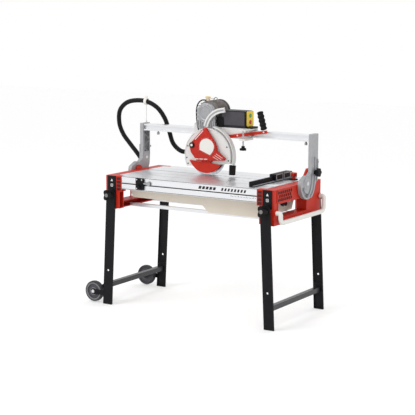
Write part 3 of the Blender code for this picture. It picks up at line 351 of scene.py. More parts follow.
def tubeAlong(path, radii, sides=16):
    # rings square to a path; each ring's frame is the one before it, turned the least that keeps it square
    path = np.asarray(path, float)
    radii = np.broadcast_to(np.asarray(radii, float), len(path))
    heading = np.gradient(path, axis=0)
    heading /= np.linalg.norm(heading, axis=1, keepdims=True)
    side = np.cross(heading[0], (0.3, 0.5, 0.8))
    side /= np.linalg.norm(side)
    angles = 2 * np.pi * np.arange(sides) / sides
    rows = []
    for point, forward, radius in zip(path, heading, radii):
        side = side - forward * np.dot(side, forward)
        side /= np.linalg.norm(side)
        up = np.cross(forward, side)
        rows.append(point + radius * (np.outer(np.cos(angles), side) + np.outer(np.sin(angles), up)))
    return rings(np.array(rows))


def smoothLine(points, perStretch=12):
    # a smooth curve through the points, in even bezier stretches
    route = [Vector(point) for point in points]
    ends = [route[0] * 2 - route[1], *route, route[-1] * 2 - route[-2]]
    fine = []
    for before, start, end, after in zip(ends, ends[1:], ends[2:], ends[3:]):
        fine += interpolate_bezier(start, start + (end - before) / 6, end - (after - start) / 6, end, perStretch)[:-1]
    return np.array([*fine, route[-1]])


def evenly(path, spacing):
    # the same line with points a set distance apart
    path = np.asarray(path, float)
    walked = np.concatenate([[0], np.cumsum(np.linalg.norm(np.diff(path, axis=0), axis=1))])
    stops = np.linspace(0, walked[-1], max(2, int(round(walked[-1] / spacing)) + 1))
    return np.stack([np.interp(stops, walked, path[:, axis]) for axis in range(3)], axis=-1)


def refined(node, finishName, edge=0.0012, sharp=32):
    # a CAD node's own shape with its flat faces made whole and its edges rounded
    source = frame["nodes"][node]
    shape = bmesh.new()
    shape.from_mesh(source.data)
    bmesh.ops.remove_doubles(shape, verts=shape.verts, dist=2e-6)
    bmesh.ops.dissolve_limit(shape, angle_limit=math.radians(1), verts=shape.verts, edges=shape.edges)
    mesh = bpy.data.meshes.new(node + "_surface")
    shape.to_mesh(mesh)
    shape.free()
    made = bpy.data.objects.new(node + "_surface", mesh)
    bpy.context.scene.collection.objects.link(made)
    if edge:
        bevel = made.modifiers.new("round edges", "BEVEL")
        bevel.width = edge
        bevel.segments = 2
        bevel.limit_method = "ANGLE"
        bevel.angle_limit = math.radians(32)
        bevel.use_clamp_overlap = True
    return dress(made, finishName, body_of(source)[0], sharp, stands=(node,))


# Nodes whose own shape only needs its edges rounded
plain = {
    ("redPaint", 0.0014): ("left_end_casting", "right_end_casting"),
    ("redPaint", 0.0008): ("lower_guard", "head_lever"),
    ("aluminium", 0.0005): ("front_apron", "rear_apron", "front_table_plate", "rear_table_plate", "front_tie_bar",
                            "rear_tie_bar", "bridge_rail"),
    ("castAlloy", 0.0008): ("belt_case", "belt_cover"),
    ("paleAlloy", 0.0016): ("left_upright", "right_upright"),
    ("whitePaint", 0.0007): ("guard_housing", "carriage", "head_plate", "hose_support"),
    ("creamPlastic", 0.0011): ("water_tray", "water_valve"),
    ("blackSteel", 0.0010): ("left_front_leg", "left_rear_leg", "right_front_leg", "right_rear_leg",
                             "front_wheel_bracket", "rear_wheel_bracket"),
    ("barSteel", 0.0010): ("left_crossbar", "right_crossbar"),
    ("blackPlastic", 0.0010): ("fence_bar", "stop_block", "apron_clamp", "hose_junction", "pump"),
    ("darkCasing", 0.0014): ("switch_box", "drain_plug"),
    ("motorBrown", 0.0012): ("motor_body",),
    ("rubber", 0.0008): ("rubber_flap", "drive_belt"),
    ("steel", 0.0004): ("spindle", "motor_rotor", "front_roller", "rear_roller"),
    ("bladeSteel", 0.0003): ("saw_blade",),
    ("redPlastic", 0.0006): ("stop_button",),
    ("greenPlastic", 0.0006): ("start_button",),
}
for (finishName, edge), nodeNames in plain.items():
    for nodeName in nodeNames:
        refined(nodeName, finishName, edge)
print("plain nodes are dressed")


# From here on, places are metres from the middle of the table along X; piece() moves them to the row frame.
# End castings
castingLook = {"face": 0.5835, "front": -0.2805, "beam": ((-0.250, -0.064), (0.7225, 0.7960)), "pitch": 0.0240,
               "rib": 0.0036, "proud": 0.0038, "window": ((-0.235, -0.030), (0.636, 0.716)), "rim": 0.008,
               "pockets": ((0.7100, 0.7270), (0.7310, 0.7480), (0.7520, 0.7700), (0.7740, 0.7900)),
               "pocketRibs": (0.7065, 0.7278, 0.7488, 0.7706, 0.7908), "panel": (0.5095, 0.5705), "sign": 0.540}


def hexagons(y, z, pitch, rib):
    # hexagonal holes on a staggered grid that keeps one rib's width inside the box
    reach, rowStep = (pitch - rib) / math.sqrt(3), pitch * math.sqrt(3) / 2
    found = []
    for row in range(int((z[1] - z[0] - 2 * reach - rib) / rowStep) + 1):
        first = y[0] + rib + pitch / 2 + (row % 2) * pitch / 2
        for column in range(int((y[1] - rib - pitch / 2 - first) / pitch) + 1):
            centre = (first + column * pitch, z[0] + rib + reach + row * rowStep)
            found.append(arc(centre, reach, 30, 330, 5))
    return found


def castingPieces(word, side):
    face, front = castingLook["face"], castingLook["front"]
    y, z = castingLook["beam"]
    out = face + castingLook["proud"]
    cells = hexagons(y, z, castingLook["pitch"], castingLook["rib"])
    lattice = plate("X", (side * (face - 0.002), side * out), rounded(y, z, 0.004), 0.0006, cells)
    piece(word + "_lattice", lattice, "redPaint", "table")
    # a dark red sheet just behind the honeycomb holes: painted shade inside the cells, where the real casting is the
    # same red
    back = plate("X", (side * (face - 0.002), side * (face + 0.0004)),
                 rounded((y[0] + 0.002, y[1] - 0.002), (z[0] + 0.002, z[1] - 0.002), 0.003), 0.0001)
    piece(word + "_lattice_shade", back, "paintedRedShade", "table")
    (near, far), (low, high) = castingLook["window"]
    wide = castingLook["rim"]
    outline = rounded((near - wide, far + wide), (low - wide, 0.7215), 0.010)
    rim = plate("X", (side * (face - 0.002), side * (face + 0.0016)), outline, 0.0006,
                [rounded((near, far), (low, high), 0.006)])
    piece(word + "_window_rim", rim, "redPaint", "table")
    wide = sorted((side * 0.4755, side * 0.5035))
    # the pockets are flat dark red plates on the front face: painted shade in place of the recesses
    pockets = [plate("Y", (front - 0.0004, front + 0.002), rounded(wide, span, 0.002), 0.0001)
               for span in castingLook["pockets"]]
    piece(word + "_pockets", pockets, "paintedRedShade", "table")
    wide = sorted((side * 0.4715, side * 0.5075))
    ribs = [plate("Y", (front - 0.0016, front + 0.002), rounded(wide, (low, low + 0.003), 0.001), 0.0004)
            for low in castingLook["pocketRibs"]]
    piece(word + "_pocket_ribs", ribs, "redPaint", "table")
    wide = sorted(side * edge for edge in castingLook["panel"])
    panel = plate("Y", (front - 0.0018, front + 0.001), rounded(wide, (0.690, 0.7965), 0.003), 0.0006)
    piece(word + "_panel", panel, "blackSteel", "table")
    middle = side * castingLook["sign"]
    deep = (front - 0.0021, front - 0.001)
    triangle = [(middle - 0.008, 0.7640), (middle + 0.008, 0.7640), (middle, 0.7790)]
    square = rounded((middle - 0.0085, middle + 0.0085), (0.7310, 0.7480), 0.003)
    hollow = rounded((middle - 0.0058, middle + 0.0058), (0.7337, 0.7453), 0.002)
    sign = [plate("Y", deep, triangle, 0.0001), plate("Y", deep, square, 0.0001, [hollow]),
            plate("Y", deep, circle((middle, 0.7395), 0.0028, 12), 0.0001)]
    piece(word + "_sign", sign, "markWhite", "table")


castingPieces("left", -1)
castingPieces("right", 1)
print("castings are made")

# Table edge
edgeLook = {"front": -0.2785, "half": 0.469, "seamShade": (0.7235, 0.7565, 0.7972), "seamHigh": 0.0022,
            "beads": (0.7268, 0.7605, 0.7900), "bars": (0.7685, 0.7850), "slant": 0.006,
            "ticks": (0.300, 0.7400), "inlays": (-0.150, -0.060, 0.150), "inlayHalf": 0.0026}


def tableEdge():
    front, half = edgeLook["front"], edgeLook["half"]
    halfHigh = edgeLook["seamHigh"] / 2
    # dark strips at the apron's grooves and along its top edge: painted shade in the grooves and a painted shadow line
    # under the table plate
    seamShade = [plate("Y", (front - 0.0003, front + 0.006), rounded((-half, half), (z - halfHigh, z + halfHigh), 0.0008),
                   0.0001) for z in edgeLook["seamShade"]]
    piece("apron_seams", seamShade, "paintedGapShade", "table")
    ribs = [plate("Y", (front - 0.0009, front + 0.004), rounded((-half, half), (z, z + 0.0016), 0.0006), 0.0004)
            for z in edgeLook["beads"]]
    piece("apron_beads", ribs, "aluminium", "table")
    # plain slanted bars where the maker's lettering would be
    low, high = edgeLook["bars"]
    slant = edgeLook["slant"]
    starts = [(0.078 + 0.0245 * k, 0.0175) for k in range(5)] + [(0.232 + 0.0215 * k, 0.0120) for k in range(8)]
    bars = [plate("Y", (front - 0.0003, front + 0.002),
                  [(x, low), (x + wide, low), (x + wide + slant, high), (x + slant, high)], 0.0001)
            for x, wide in starts]
    piece("apron_bars", bars, "inkGrey", "table")
    first, low = edgeLook["ticks"]
    ticks = []
    for k in range(17):
        x, high = first + 0.010 * k, low + (0.009 if k % 5 == 0 else 0.005)
        ticks.append(plate("Y", (front - 0.0001, front + 0.002), rounded((x - 0.0012, x + 0.0012), (low, high), 0.0005),
                           0.0001))
    piece("apron_ticks", ticks, "inkGrey", "table")
    wide = edgeLook["inlayHalf"]
    inlays = [plate("Z", (0.7975, 0.79965), rounded((-0.511, 0.511), (y - wide, y + wide), 0.0008), 0.0001)
              for y in edgeLook["inlays"]]
    piece("table_inlays", inlays, "inkGrey", "table")


tableEdge()

# Carrying handle
handleLook = {"x": 0.615, "radius": 0.0135, "face": 0.5838, "y": (-0.262, 0.265), "low": 0.612, "bend": 0.032}


def handle():
    x, face, low, bend = handleLook["x"], handleLook["face"], handleLook["low"], handleLook["bend"]
    front, rear = handleLook["y"]
    line = [(face, front, 0.668), (x - 0.006, front, 0.668), (x, front, 0.660)]
    line += [(x, y, z) for y, z in arc((front + bend, low + bend), bend, 180, 270, 12)]
    line += [(x, y, z) for y, z in arc((rear - bend, low + bend), bend, 270, 360, 12)]
    line += [(x, rear, 0.692), (x - 0.006, rear, 0.700), (face, rear, 0.700)]
    path = evenly(line, 0.004)
    radii = np.full(len(path), handleLook["radius"])
    piece("handle_tube", tubeAlong(path, radii, 28), "ivory", "table", stands=("carry_handle",))
    collar = [(0.0175, face - 0.001), (0.0190, face), (0.0190, face + 0.003), (0.0172, face + 0.0045)]
    caps = [turned("X", place, collar, 28) for place in ((front, 0.668), (rear, 0.700))]
    piece("handle_collars", caps, "redPaint", "table")


handle()
print("table edge and handle are made")


# Knobs
def lobedRings(axis, centre, spans, radius, lobes, depth, sides=72):
    # radius * share - depth * (1 - cos(lobes * angle)) / 2 round the axis; spans holds (share, place)
    angles = 2 * np.pi * np.arange(sides) / sides
    swell = depth * (0.5 - 0.5 * np.cos(lobes * angles))
    rows = []
    for share, along in spans:
        reach = (radius - swell) * share
        uv = np.stack([centre[0] + reach * np.cos(angles), centre[1] + reach * np.sin(angles)], axis=-1)
        rows.append(across(axis, uv, along))
    return rings(np.array(rows))


def spans(low, high, edge=0.18, steps=5):
    # shares and places of a body whose two rims are rounded
    turn = np.linspace(0, np.pi / 2, steps)
    rise = (high - low) * edge
    share = 0.86 + 0.14 * np.sin(turn)
    return ([(a, low + rise * (1 - np.cos(t))) for a, t in zip(share, turn)]
            + [(a, high - rise * (1 - np.cos(t))) for a, t in zip(share[::-1], turn[::-1])])


knobLook = {"pivot": (0.540, 0.683), "radius": 0.034, "depth": 0.016, "lobes": 3, "off": 0.0123}


def legKnob(word, place, side, face, near):
    centre = (side * knobLook["pivot"][0], knobLook["pivot"][1])
    outer = face + near * knobLook["off"]
    low, high = sorted((outer + near * 0.020, outer + near * 0.042))
    body = lobedRings("Y", centre, spans(low, high), knobLook["radius"], knobLook["lobes"], knobLook["depth"])
    boss = turned("Y", centre, [(0.0115, outer), (0.0125, outer + near * 0.003), (0.0105, outer + near * 0.012),
                                (0.0125, outer + near * 0.022)], 28)
    node = f"{word}_{place}_knob"
    piece(node + "_body", [body, boss], "blackPlastic", node, stands=(node,))
    cap = turned("Y", centre, [(0.0115, outer + near * 0.041), (0.0115, outer + near * 0.0435),
                               (0.0090, outer + near * 0.0448)], 28)
    piece(node + "_cap", cap, "motorBrown", node)


for word, side, face in (("left", -1, 0.285), ("right", 1, 0.299)):
    for place, near in (("front", -1), ("rear", 1)):
        legKnob(word, place, side, near * face, near)


lockLook = {"face": 0.6113, "radius": 0.026, "lobes": 5, "depth": 0.006,
            "places": {-1: (0.075, -20), 1: (0.110, 30)}}  # each knob's distance and angle from the tilt axis


def tiltKnob(word, side):
    reach, angle = lockLook["places"][side]
    angle = math.radians(angle)
    centre = (tiltAxis[0] + reach * math.cos(angle), tiltAxis[1] + reach * math.sin(angle))
    face = side * lockLook["face"]
    low, high = sorted((face + side * 0.012, face + side * 0.034))
    body = lobedRings("X", centre, spans(low, high), lockLook["radius"], lockLook["lobes"], lockLook["depth"])
    boss = turned("X", centre, [(0.012, face), (0.012, face + side * 0.016)], 28)
    stud = turned("X", centre, [(0.0049, side * 0.5720), (0.0049, face + side * 0.01)], 20)
    node = word + "_tilt_knob"
    piece(node + "_body", [body, boss, stud], "blackPlastic", node, stands=(node,))


tiltKnob("left", -1)
tiltKnob("right", 1)

screwLook = {"centre": (0.197, 0.026), "knob": (0.968, 0.982), "radius": 0.0205, "thread": (0.994, 1.0830, 0.00075),
             "crest": 0.0050, "root": 0.0043}


def depthScrew():
    centre = screwLook["centre"]
    body = lobedRings("Z", centre, spans(*screwLook["knob"]), screwLook["radius"], 5, 0.004)
    neck = turned("Z", centre, [(0.0125, 0.980), (0.0105, 0.985), (0.0098, 0.9945)], 28)
    piece("depth_knob", [body, neck], "blackPlastic", "depth_screw", stands=("depth_screw",))
    # thread: the radius runs between root and crest once for each turn
    places = np.arange(*screwLook["thread"])
    radii = np.where(np.arange(len(places)) % 2 == 0, screwLook["crest"], screwLook["root"])
    piece("depth_thread", turned("Z", centre, np.stack([radii, places], axis=-1), 20), "steel", "depth_screw")


depthScrew()
print("knobs are made")

# Wheels
wheelLook = {"x": -0.679, "y": 0.280, "z": 0.068, "radius": 0.064, "half": 0.015}


def wheelPieces(word, side):
    x, z, r, half = wheelLook["x"], wheelLook["z"], wheelLook["radius"], wheelLook["half"]
    y = side * wheelLook["y"]
    turn = np.linspace(-80, 80, 11)
    # tread: a flat-topped arc across the width
    turn = np.radians(turn)
    tread = list(zip(r - 0.006 + 0.006 * np.cos(turn) ** 0.5, y + half * np.sin(turn) / np.sin(turn[-1])))
    tyre = ringTurned("Y", (x, z), [*tread, (0.050, y + half - 0.001), (0.0485, y), (0.050, y - half + 0.001)], 72)
    piece(word + "_tyre", tyre, "wheelGrey", word + "_wheel", stands=(word + "_wheel",))
    disc = [(0.0505, y - 0.010), (0.0505, y + 0.010), (0.0465, y + 0.010), (0.0450, y + 0.007), (0.0250, y + 0.008),
            (0.0215, y + 0.0145), (0.0087, y + 0.0145), (0.0087, y - 0.0145), (0.0215, y - 0.0145), (0.0250, y - 0.008),
            (0.0450, y - 0.007), (0.0465, y - 0.010)]
    piece(word + "_hub", ringTurned("Y", (x, z), disc, 72), "hubGrey", word + "_wheel")
    end = y + side * 0.0255
    cap = turned("Y", (x, z), [(0.0105, end - side * 0.009), (0.0112, end - side * 0.004), (0.0080, end)], 28)
    circles = [ringTurned("Y", (x, z), [(radius - 0.0012, y + side * 0.0085), (radius + 0.0012, y + side * 0.0085),
                                        (radius + 0.0009, y + side * 0.0147), (radius - 0.0009, y + side * 0.0147)], 72)
               for radius in (0.0525, 0.0480)]
    circles.append(ringTurned("Y", (x, z), [(0.0215, y + side * 0.010), (0.0235, y + side * 0.010),
                                            (0.0230, y + side * 0.0150), (0.0215, y + side * 0.0150)], 72))
    piece(word + "_wheel_circles", circles, "castAlloy", word + "_wheel")
    arm = plate("Y", (side * (wheelLook["y"] + 0.0162), side * (wheelLook["y"] + 0.0184)),
                rounded((x - 0.012, x + 0.080), (z - 0.015, z + 0.014), 0.004), 0.0006)
    piece(word + "_axle_arm", arm, "blackSteel", "left_legs")
    piece(word + "_axle_cap", cap, "steel", "left_legs")


wheelPieces("front", -1)
wheelPieces("rear", 1)
print("wheels are made")

# Bridge
bridgeLook = {"face": 0.611, "inner": 0.586, "ribHalf": 0.0045, "ribProud": 0.0045,
              "bumperX": {-1: -0.488, 1: 0.556}, "pinX": 0.5985, "pinZ": {-1: 0.928, 1: 0.912},
              "web": ((0.121, 1.018, 0.184, 0.975), (0.121, 0.932, 0.184, 0.972), (0.121, 0.925, 0.184, 0.885),
                      (0.121, 0.880, 0.121, 1.020), (0.184, 0.880, 0.184, 1.020)), "webHalf": 0.0025}


def bridgePieces(word, side):
    face, half, proud = bridgeLook["face"], bridgeLook["ribHalf"], bridgeLook["ribProud"]
    ribs = []
    for line in ([(0.119, 0.945), (0.119, 0.860), (0.113, 0.800), (0.096, 0.752), (0.068, 0.718)],
                 [(0.150, 0.945), (0.151, 0.860), (0.147, 0.795), (0.130, 0.745), (0.104, 0.715)],
                 [(0.181, 0.930), (0.181, 0.865), (0.172, 0.805)]):
        flat = smoothLine([(0, y, z) for y, z in line], 8)[:, 1:]
        along = np.gradient(flat, axis=0)
        along /= np.linalg.norm(along, axis=1, keepdims=True)
        square = np.stack([-along[:, 1], along[:, 0]], axis=-1) * half
        outline = np.concatenate([flat + square, (flat - square)[::-1]])
        ribs.append(plate("X", (side * (face - 0.002), side * (face + proud)), outline, 0.0012))
    piece(word + "_foot_ribs", ribs, "paleAlloy", "bridge")
    hub = [(0.0400, face - 0.001), (0.0400, face + 0.0020), (0.0370, face + 0.0030), (0.0340, face + 0.0010),
           (0.0230, face + 0.0010), (0.0200, face + 0.0040), (0.0125, face + 0.0045)]
    disc = turned("X", tiltAxis, [(r, side * x) for r, x in hub], 48)
    piece(word + "_pivot_disc", disc, "paleAlloy", "bridge")
    cap = turned("X", tiltAxis, [(0.0115, side * (face + 0.004)), (0.0115, side * (face + 0.0075)),
                                 (0.0070, side * (face + 0.0090))], 28)
    piece(word + "_pivot_cap", cap, "steel", "table")
    stub = turned("Z", (bridgeLook["bumperX"][side], 0.140), [(0.0075, 1.012), (0.0085, 1.016), (0.0085, 1.026),
                                                              (0.0045, 1.028), (0.0045, 1.036)], 20)
    piece(word + "_bumper", stub, "castAlloy", "bridge")
    x, z = side * bridgeLook["pinX"], bridgeLook["pinZ"][side]
    stem = [(0.0050, 0.188), (0.0050, 0.192), (0.0030, 0.193), (0.0030, 0.199), (0.0045, 0.201)]
    pin = [turned("Y", (x, z), stem, 16),
           plate("Y", (0.201, 0.204), rounded((x - 0.011, x + 0.011), (z - 0.006, z + 0.006), 0.005), 0.0008)]
    piece(word + "_wing_pin", pin, "steel", "bridge")
    inner = bridgeLook["inner"]
    wide = bridgeLook["webHalf"]
    web = [plate("X", (side * (inner - 0.0018), side * (inner + 0.001)),
                 [(a - wide, c), (a + wide, c), (b + wide, d), (b - wide, d)], 0.0006)
           for a, c, b, d in bridgeLook["web"]]
    piece(word + "_web", web, "paleAlloy", "bridge")
    eye = turned("X", (0.152, 0.862), [(0.0100, side * (inner + 0.001)), (0.0100, side * (inner - 0.0016)),
                                       (0.0070, side * (inner - 0.0020))], 28)
    piece(word + "_web_eye", eye, "steel", "bridge")


bridgePieces("left", -1)
bridgePieces("right", 1)
print("bridge is made")

# Head
headLook = {"blade": (-0.065, 0.917), "motor": (-0.100, 1.170)}  # X and Z of the two shafts
coverLook = {
    "outline": ((-0.127, 0.884), (0.070, 0.898), (0.074, 0.912), (0.017, 0.952), (0.010, 0.985), (-0.004, 1.010),
                (-0.060, 1.086), (-0.070, 1.089), (-0.080, 1.084), (-0.142, 1.020), (-0.172, 0.990), (-0.180, 0.970),
                (-0.170, 0.935)),
    "middle": (-0.060, 0.965),
    "steps": ((0.955, 0.0335), (1.0, 0.0335), (1.0, 0.0245), (0.993, 0.0215), (0.975, 0.0194), (0.945, 0.0184),
              (0.90, 0.0181), (0.885, 0.0192), (0.875, 0.0193), (0.860, 0.0181)),
    "window": ((-0.108, 0.950), (-0.106, 0.992), (-0.085, 1.020), (-0.049, 1.029), (-0.016, 1.015), (0.003, 0.986),
               (-0.003, 0.952), (-0.027, 0.920)),
    "screw": (-0.157, 0.979),
}


def strip(start, end, wide, near=0.0174, far=0.0195):
    # a thin bar between two points of the cover's face
    first, last = np.array(start), np.array(end)
    along = (last - first) / np.linalg.norm(last - first)
    square = np.array([-along[1], along[0]]) * wide / 2
    return plate("Y", (near, far), [first - square, last - square, last + square, first + square], 0.0002)


def bladeCover():
    # a door whose face swells forward: each ring is the outline drawn towards its middle
    closed = np.array(coverLook["outline"] + coverLook["outline"][:1])
    outline = evenly(np.column_stack([np.zeros(len(closed)), closed]), 0.004)[:-1, 1:]
    middle = np.array(coverLook["middle"])
    rows = [across("Y", middle + (outline - middle) * share, y) for share, y in coverLook["steps"]]
    piece("blade_cover_door", rings(np.array(rows)), "redPlastic", "blade_cover", stands=("blade_cover",))
    window = smoothLine([(0, x, z) for x, z in coverLook["window"]], 6)[:, 1:]
    piece("blade_cover_window", plate("Y", (0.0170, 0.0190), window, 0.0004), "ivory", "blade_cover")
    rim = plate("Y", (0.0160, 0.0190), inset(window, -0.0045), 0.0006, [window])
    piece("blade_cover_frame", rim, "redPlastic", "blade_cover")
    # the first strip is a painted highlight along the groove near the cover's left edge; the other three are ivory
    # lines near the bottom edge
    highlightAndLines = [strip((-0.079, 1.071), (-0.136, 1.013), 0.0042)]
    highlightAndLines += [strip((-0.135 + 0.031 * k, 0.8960 + 0.0012 * k), (-0.111 + 0.031 * k, 0.8970 + 0.0012 * k), 0.0045)
              for k in range(3)]
    piece("blade_cover_highlight_and_lines", highlightAndLines, "ivory", "blade_cover")
    # pale pink strips on the three louvres: painted sheen on the red plastic
    slitSheen = [strip(start, end, 0.0042) for start, end in (((0.014, 0.936), (0.060, 0.9125)),
                                                          ((0.004, 0.926), (0.050, 0.9035)),
                                                          ((-0.008, 0.917), (0.030, 0.8990)))]
    piece("blade_cover_slit_sheen", slitSheen, "paintedPinkSheen", "blade_cover")
    screw = turned("Y", coverLook["screw"], [(0.0165, 0.0200), (0.0175, 0.0180), (0.0175, 0.0120), (0.0160, 0.0105)],
                   32)
    piece("blade_cover_screw", screw, "blackPlastic", "blade_cover")
    dot = turned("Y", coverLook["screw"], [(0.0080, 0.0120), (0.0080, 0.0100), (0.0060, 0.0092)], 28)
    piece("blade_cover_screw_middle", dot, "ivory", "blade_cover")


bladeCover()


def boltHeads(places, radii, spots, sides):
    # heads that face the front: base, shoulder and a slightly drawn-in top, one for each radius and spot along Y
    return joined(*[turned("Y", place, list(zip(radii, spots)), sides) for place in places])


def ringOf(centre, radius, angles):
    return [(centre[0] + radius * math.cos(math.radians(a)), centre[1] + radius * math.sin(math.radians(a)))
            for a in angles]


guardLook = {"front": 0.0465, "beads": (("guard_bead", 0.1605, -12, 204), ("fender_bead", 0.1795, -13, 76)),
             "beadRadius": 0.0026, "screwRing": 0.150, "screws": (-8, 24, 160, 188, 202)}


def guardTrim():
    front = guardLook["front"]
    # a bead along the guard's rim and another on the fender: small circles carried round the blade's axis
    for name, radius, start, end in guardLook["beads"]:
        line = across("Y", arc(headLook["blade"], radius, start, end, 90), front)
        piece(name, tubeAlong(line, np.full(len(line), guardLook["beadRadius"]), 12), "whitePaint", "head")
    heads = boltHeads(ringOf(headLook["blade"], guardLook["screwRing"], guardLook["screws"]),
                      (0.0042, 0.0042, 0.0028), (front + 0.001, front - 0.0015, front - 0.0026), 16)
    piece("guard_screws", heads, "inkGrey", "head")
    flap = plate("Y", (0.0462, 0.0638), [(0.0885, 0.8112), (0.1215, 0.8112), (0.1255, 0.868), (0.0905, 0.870)], 0.0008)
    piece("flap_surface", flap, "rubber", "head")


guardTrim()

gearLook = {
    "cover": ((0.0600, 0.0800), (0.0605, 0.0775), (0.0560, 0.0760), (0.0500, 0.0760), (0.0480, 0.0725),
              (0.0430, 0.0715), (0.0400, 0.0735), (0.0330, 0.0738), (0.0300, 0.0712), (0.0120, 0.0705)),
    "boltRing": 0.0530, "fins": (0.056, 0.0690), "finHalf": 0.0020,
    "arm": ((-0.092, 1.092), (-0.078, 1.128), (-0.050, 1.162), (-0.010, 1.186), (0.036, 1.196)), "armHalf": 0.0125,
    "neck": (-0.150, -0.135, -0.120, -0.060, -0.045), "neckHalf": 0.0022,
}


def gearCase():
    x, z = headLook["motor"]
    piece("gear_cover", turned("Y", (x, z), gearLook["cover"], 64), "castAlloy", "head")
    bolts = boltHeads(ringOf((x, z), gearLook["boltRing"], range(15, 375, 60)), (0.0042, 0.0042, 0.0030),
                      (0.0770, 0.0735, 0.0728), 6)
    piece("gear_bolts", bolts, "steel", "head")
    fins = []
    for angle in np.radians(range(100, 261, 20)):
        out = np.array([math.cos(angle), math.sin(angle)])
        side = np.array([-out[1], out[0]]) * gearLook["finHalf"]
        near, far = [np.array([x, z]) + out * reach for reach in gearLook["fins"]]
        fins.append(plate("Y", (0.0800, 0.1035), [near - side, far - side, far + side, near + side], 0.0006))
    piece("gear_fins", fins, "castAlloy", "head")
    # a cast arm that curves from the gear cover's foot up to the motor's far shoulder
    line = smoothLine([(0, u, v) for u, v in gearLook["arm"]], 10)[:, 1:]
    along = np.gradient(line, axis=0)
    along /= np.linalg.norm(along, axis=1, keepdims=True)
    square = np.stack([-along[:, 1], along[:, 0]], axis=-1) * gearLook["armHalf"]
    arm = plate("Y", (0.0660, 0.0790), np.concatenate([line + square, (line - square)[::-1]]), 0.0022)
    piece("gear_arm", arm, "whitePaint", "head")
    groove = plate("Y", (0.0652, 0.0670), np.concatenate([line + square * 0.35, (line - square * 0.35)[::-1]]), 0.0004)
    piece("gear_arm_rib", groove, "castAlloy", "head")
    half, lean = gearLook["neckHalf"], 0.004
    neck = [plate("Y", (0.0745, 0.0800), [(u - half, 1.080), (u + half, 1.080), (u + half - lean, 1.125),
                                          (u - half - lean, 1.125)], 0.0006) for u in gearLook["neck"]]
    piece("gear_neck_ribs", neck, "castAlloy", "head")


gearCase()

motorLook = {"fins": (0.113, 0.222, 0.0095), "finRadii": (0.0690, 0.0735), "vents": 12, "ventRadii": (0.020, 0.050),
             "cap": (-0.110, 0.122), "hook": (-0.066, 0.142, 1.2500), "hookRadius": 0.0125,
             "feed": ((-0.112, 0.105, 1.246), (-0.136, 0.094, 1.246), (-0.158, 0.088, 1.226), (-0.169, 0.086, 1.190),
                      (-0.167, 0.084, 1.140), (-0.158, 0.080, 1.095), (-0.146, 0.0755, 1.060)), "feedRadius": 0.0042}


def motorTrim():
    centre = x, z = headLook["motor"]
    low, high = motorLook["finRadii"]
    fins = [ringTurned("Y", centre, [(low, y), (high, y + 0.0004), (high, y + 0.0026), (low, y + 0.0030)], 64)
            for y in np.arange(*motorLook["fins"])]
    piece("motor_fins", fins, "motorBrown", "head")
    band = ringTurned("Y", centre, [(0.0710, 0.2300), (0.0745, 0.2310), (0.0745, 0.2490), (0.0710, 0.2500)], 64)
    piece("motor_band", band, "darkCasing", "head")
    near, far = motorLook["ventRadii"]
    # the vent slots on the motor's end are dark plates: painted shade in the openings
    vents = []
    for angle in np.linspace(0, 2 * np.pi, motorLook["vents"] + 1)[:-1]:
        corners = ((near, angle - 0.09), (far, angle - 0.05), (far, angle + 0.05), (near, angle + 0.09))
        vents.append(plate("Y", (0.2645, 0.2658), [(x + r * math.cos(t), z + r * math.sin(t)) for r, t in corners],
                           0.0001))
    piece("motor_vent_shade", vents, "paintedGapShade", "head")
    cap = turned("Z", motorLook["cap"], [(0.0150, 1.2580), (0.0165, 1.2590), (0.0165, 1.2660), (0.0120, 1.2695)], 28)
    piece("tap_cap", cap, "tapYellow", "water_valve")
    angles = np.radians(np.linspace(-30, 210, 25))
    (x, y, z), radius = motorLook["hook"], motorLook["hookRadius"]
    hook = np.stack([x + radius * np.cos(angles), np.full(25, y), z + radius * np.sin(angles)], axis=-1)
    piece("motor_hook", tubeAlong(hook, np.full(25, 0.0030), 14), "castAlloy", "head")
    feed = smoothLine(motorLook["feed"], 8)
    piece("water_feed", tubeAlong(feed, np.full(len(feed), motorLook["feedRadius"]), 14), "inkGrey", "head")


motorTrim()

switchLook = {"lid": ((0.004, 0.158), (1.1060, 1.1850)), "flange": ((0.1090, 0.1850), (1.1010, 1.1910)),
              "buttons": (1.126, 1.164), "plug": ((-0.030, 0.016), (1.0960, 1.1500)),
              "foot": ((0.1660, 0.2080), (0.1075, 0.1850)), "wireRadius": 0.0045,
              "wire": ((-0.020, 0.100, 1.110), (-0.036, 0.096, 1.120), (-0.040, 0.100, 1.150), (-0.030, 0.112, 1.185))}


def switchTrim():
    lid = plate("Y", (0.1018, 0.1040), rounded(*switchLook["lid"], 0.006), 0.0010)
    piece("switch_lid", lid, "lidGrey", "head")
    wells = [circle((0.147, z), 0.0128, 28) for z in switchLook["buttons"]]
    flange = plate("X", (0.1715, 0.1742), rounded(*switchLook["flange"], 0.010), 0.0010, wells)
    piece("switch_flange", flange, "yellowPlastic", "head")
    plug = plate("Y", (0.0985, 0.1035), rounded(*switchLook["plug"], 0.007), 0.0012)
    piece("switch_plug", plug, "blackPlastic", "head")
    foot = plate("Z", (1.0897, 1.0985), rounded(*switchLook["foot"], 0.004), 0.0012)
    piece("switch_foot", foot, "blackPlastic", "head")
    wire = smoothLine(switchLook["wire"], 8)
    piece("switch_wire", tubeAlong(wire, np.full(len(wire), switchLook["wireRadius"]), 14), "blackPlastic",
                  "head")


switchTrim()

gripLook = {"base": (0.300, 0.0945, 1.0882), "top": (0.269, 0.0945, 1.198), "radius": 0.0196, "wave": 0.0020,
            "waves": 4.6, "phase": 0.35, "flat": 0.8, "bolts": ((0.060, 1.0370), (0.120, 1.0470), (0.300, 1.0770))}


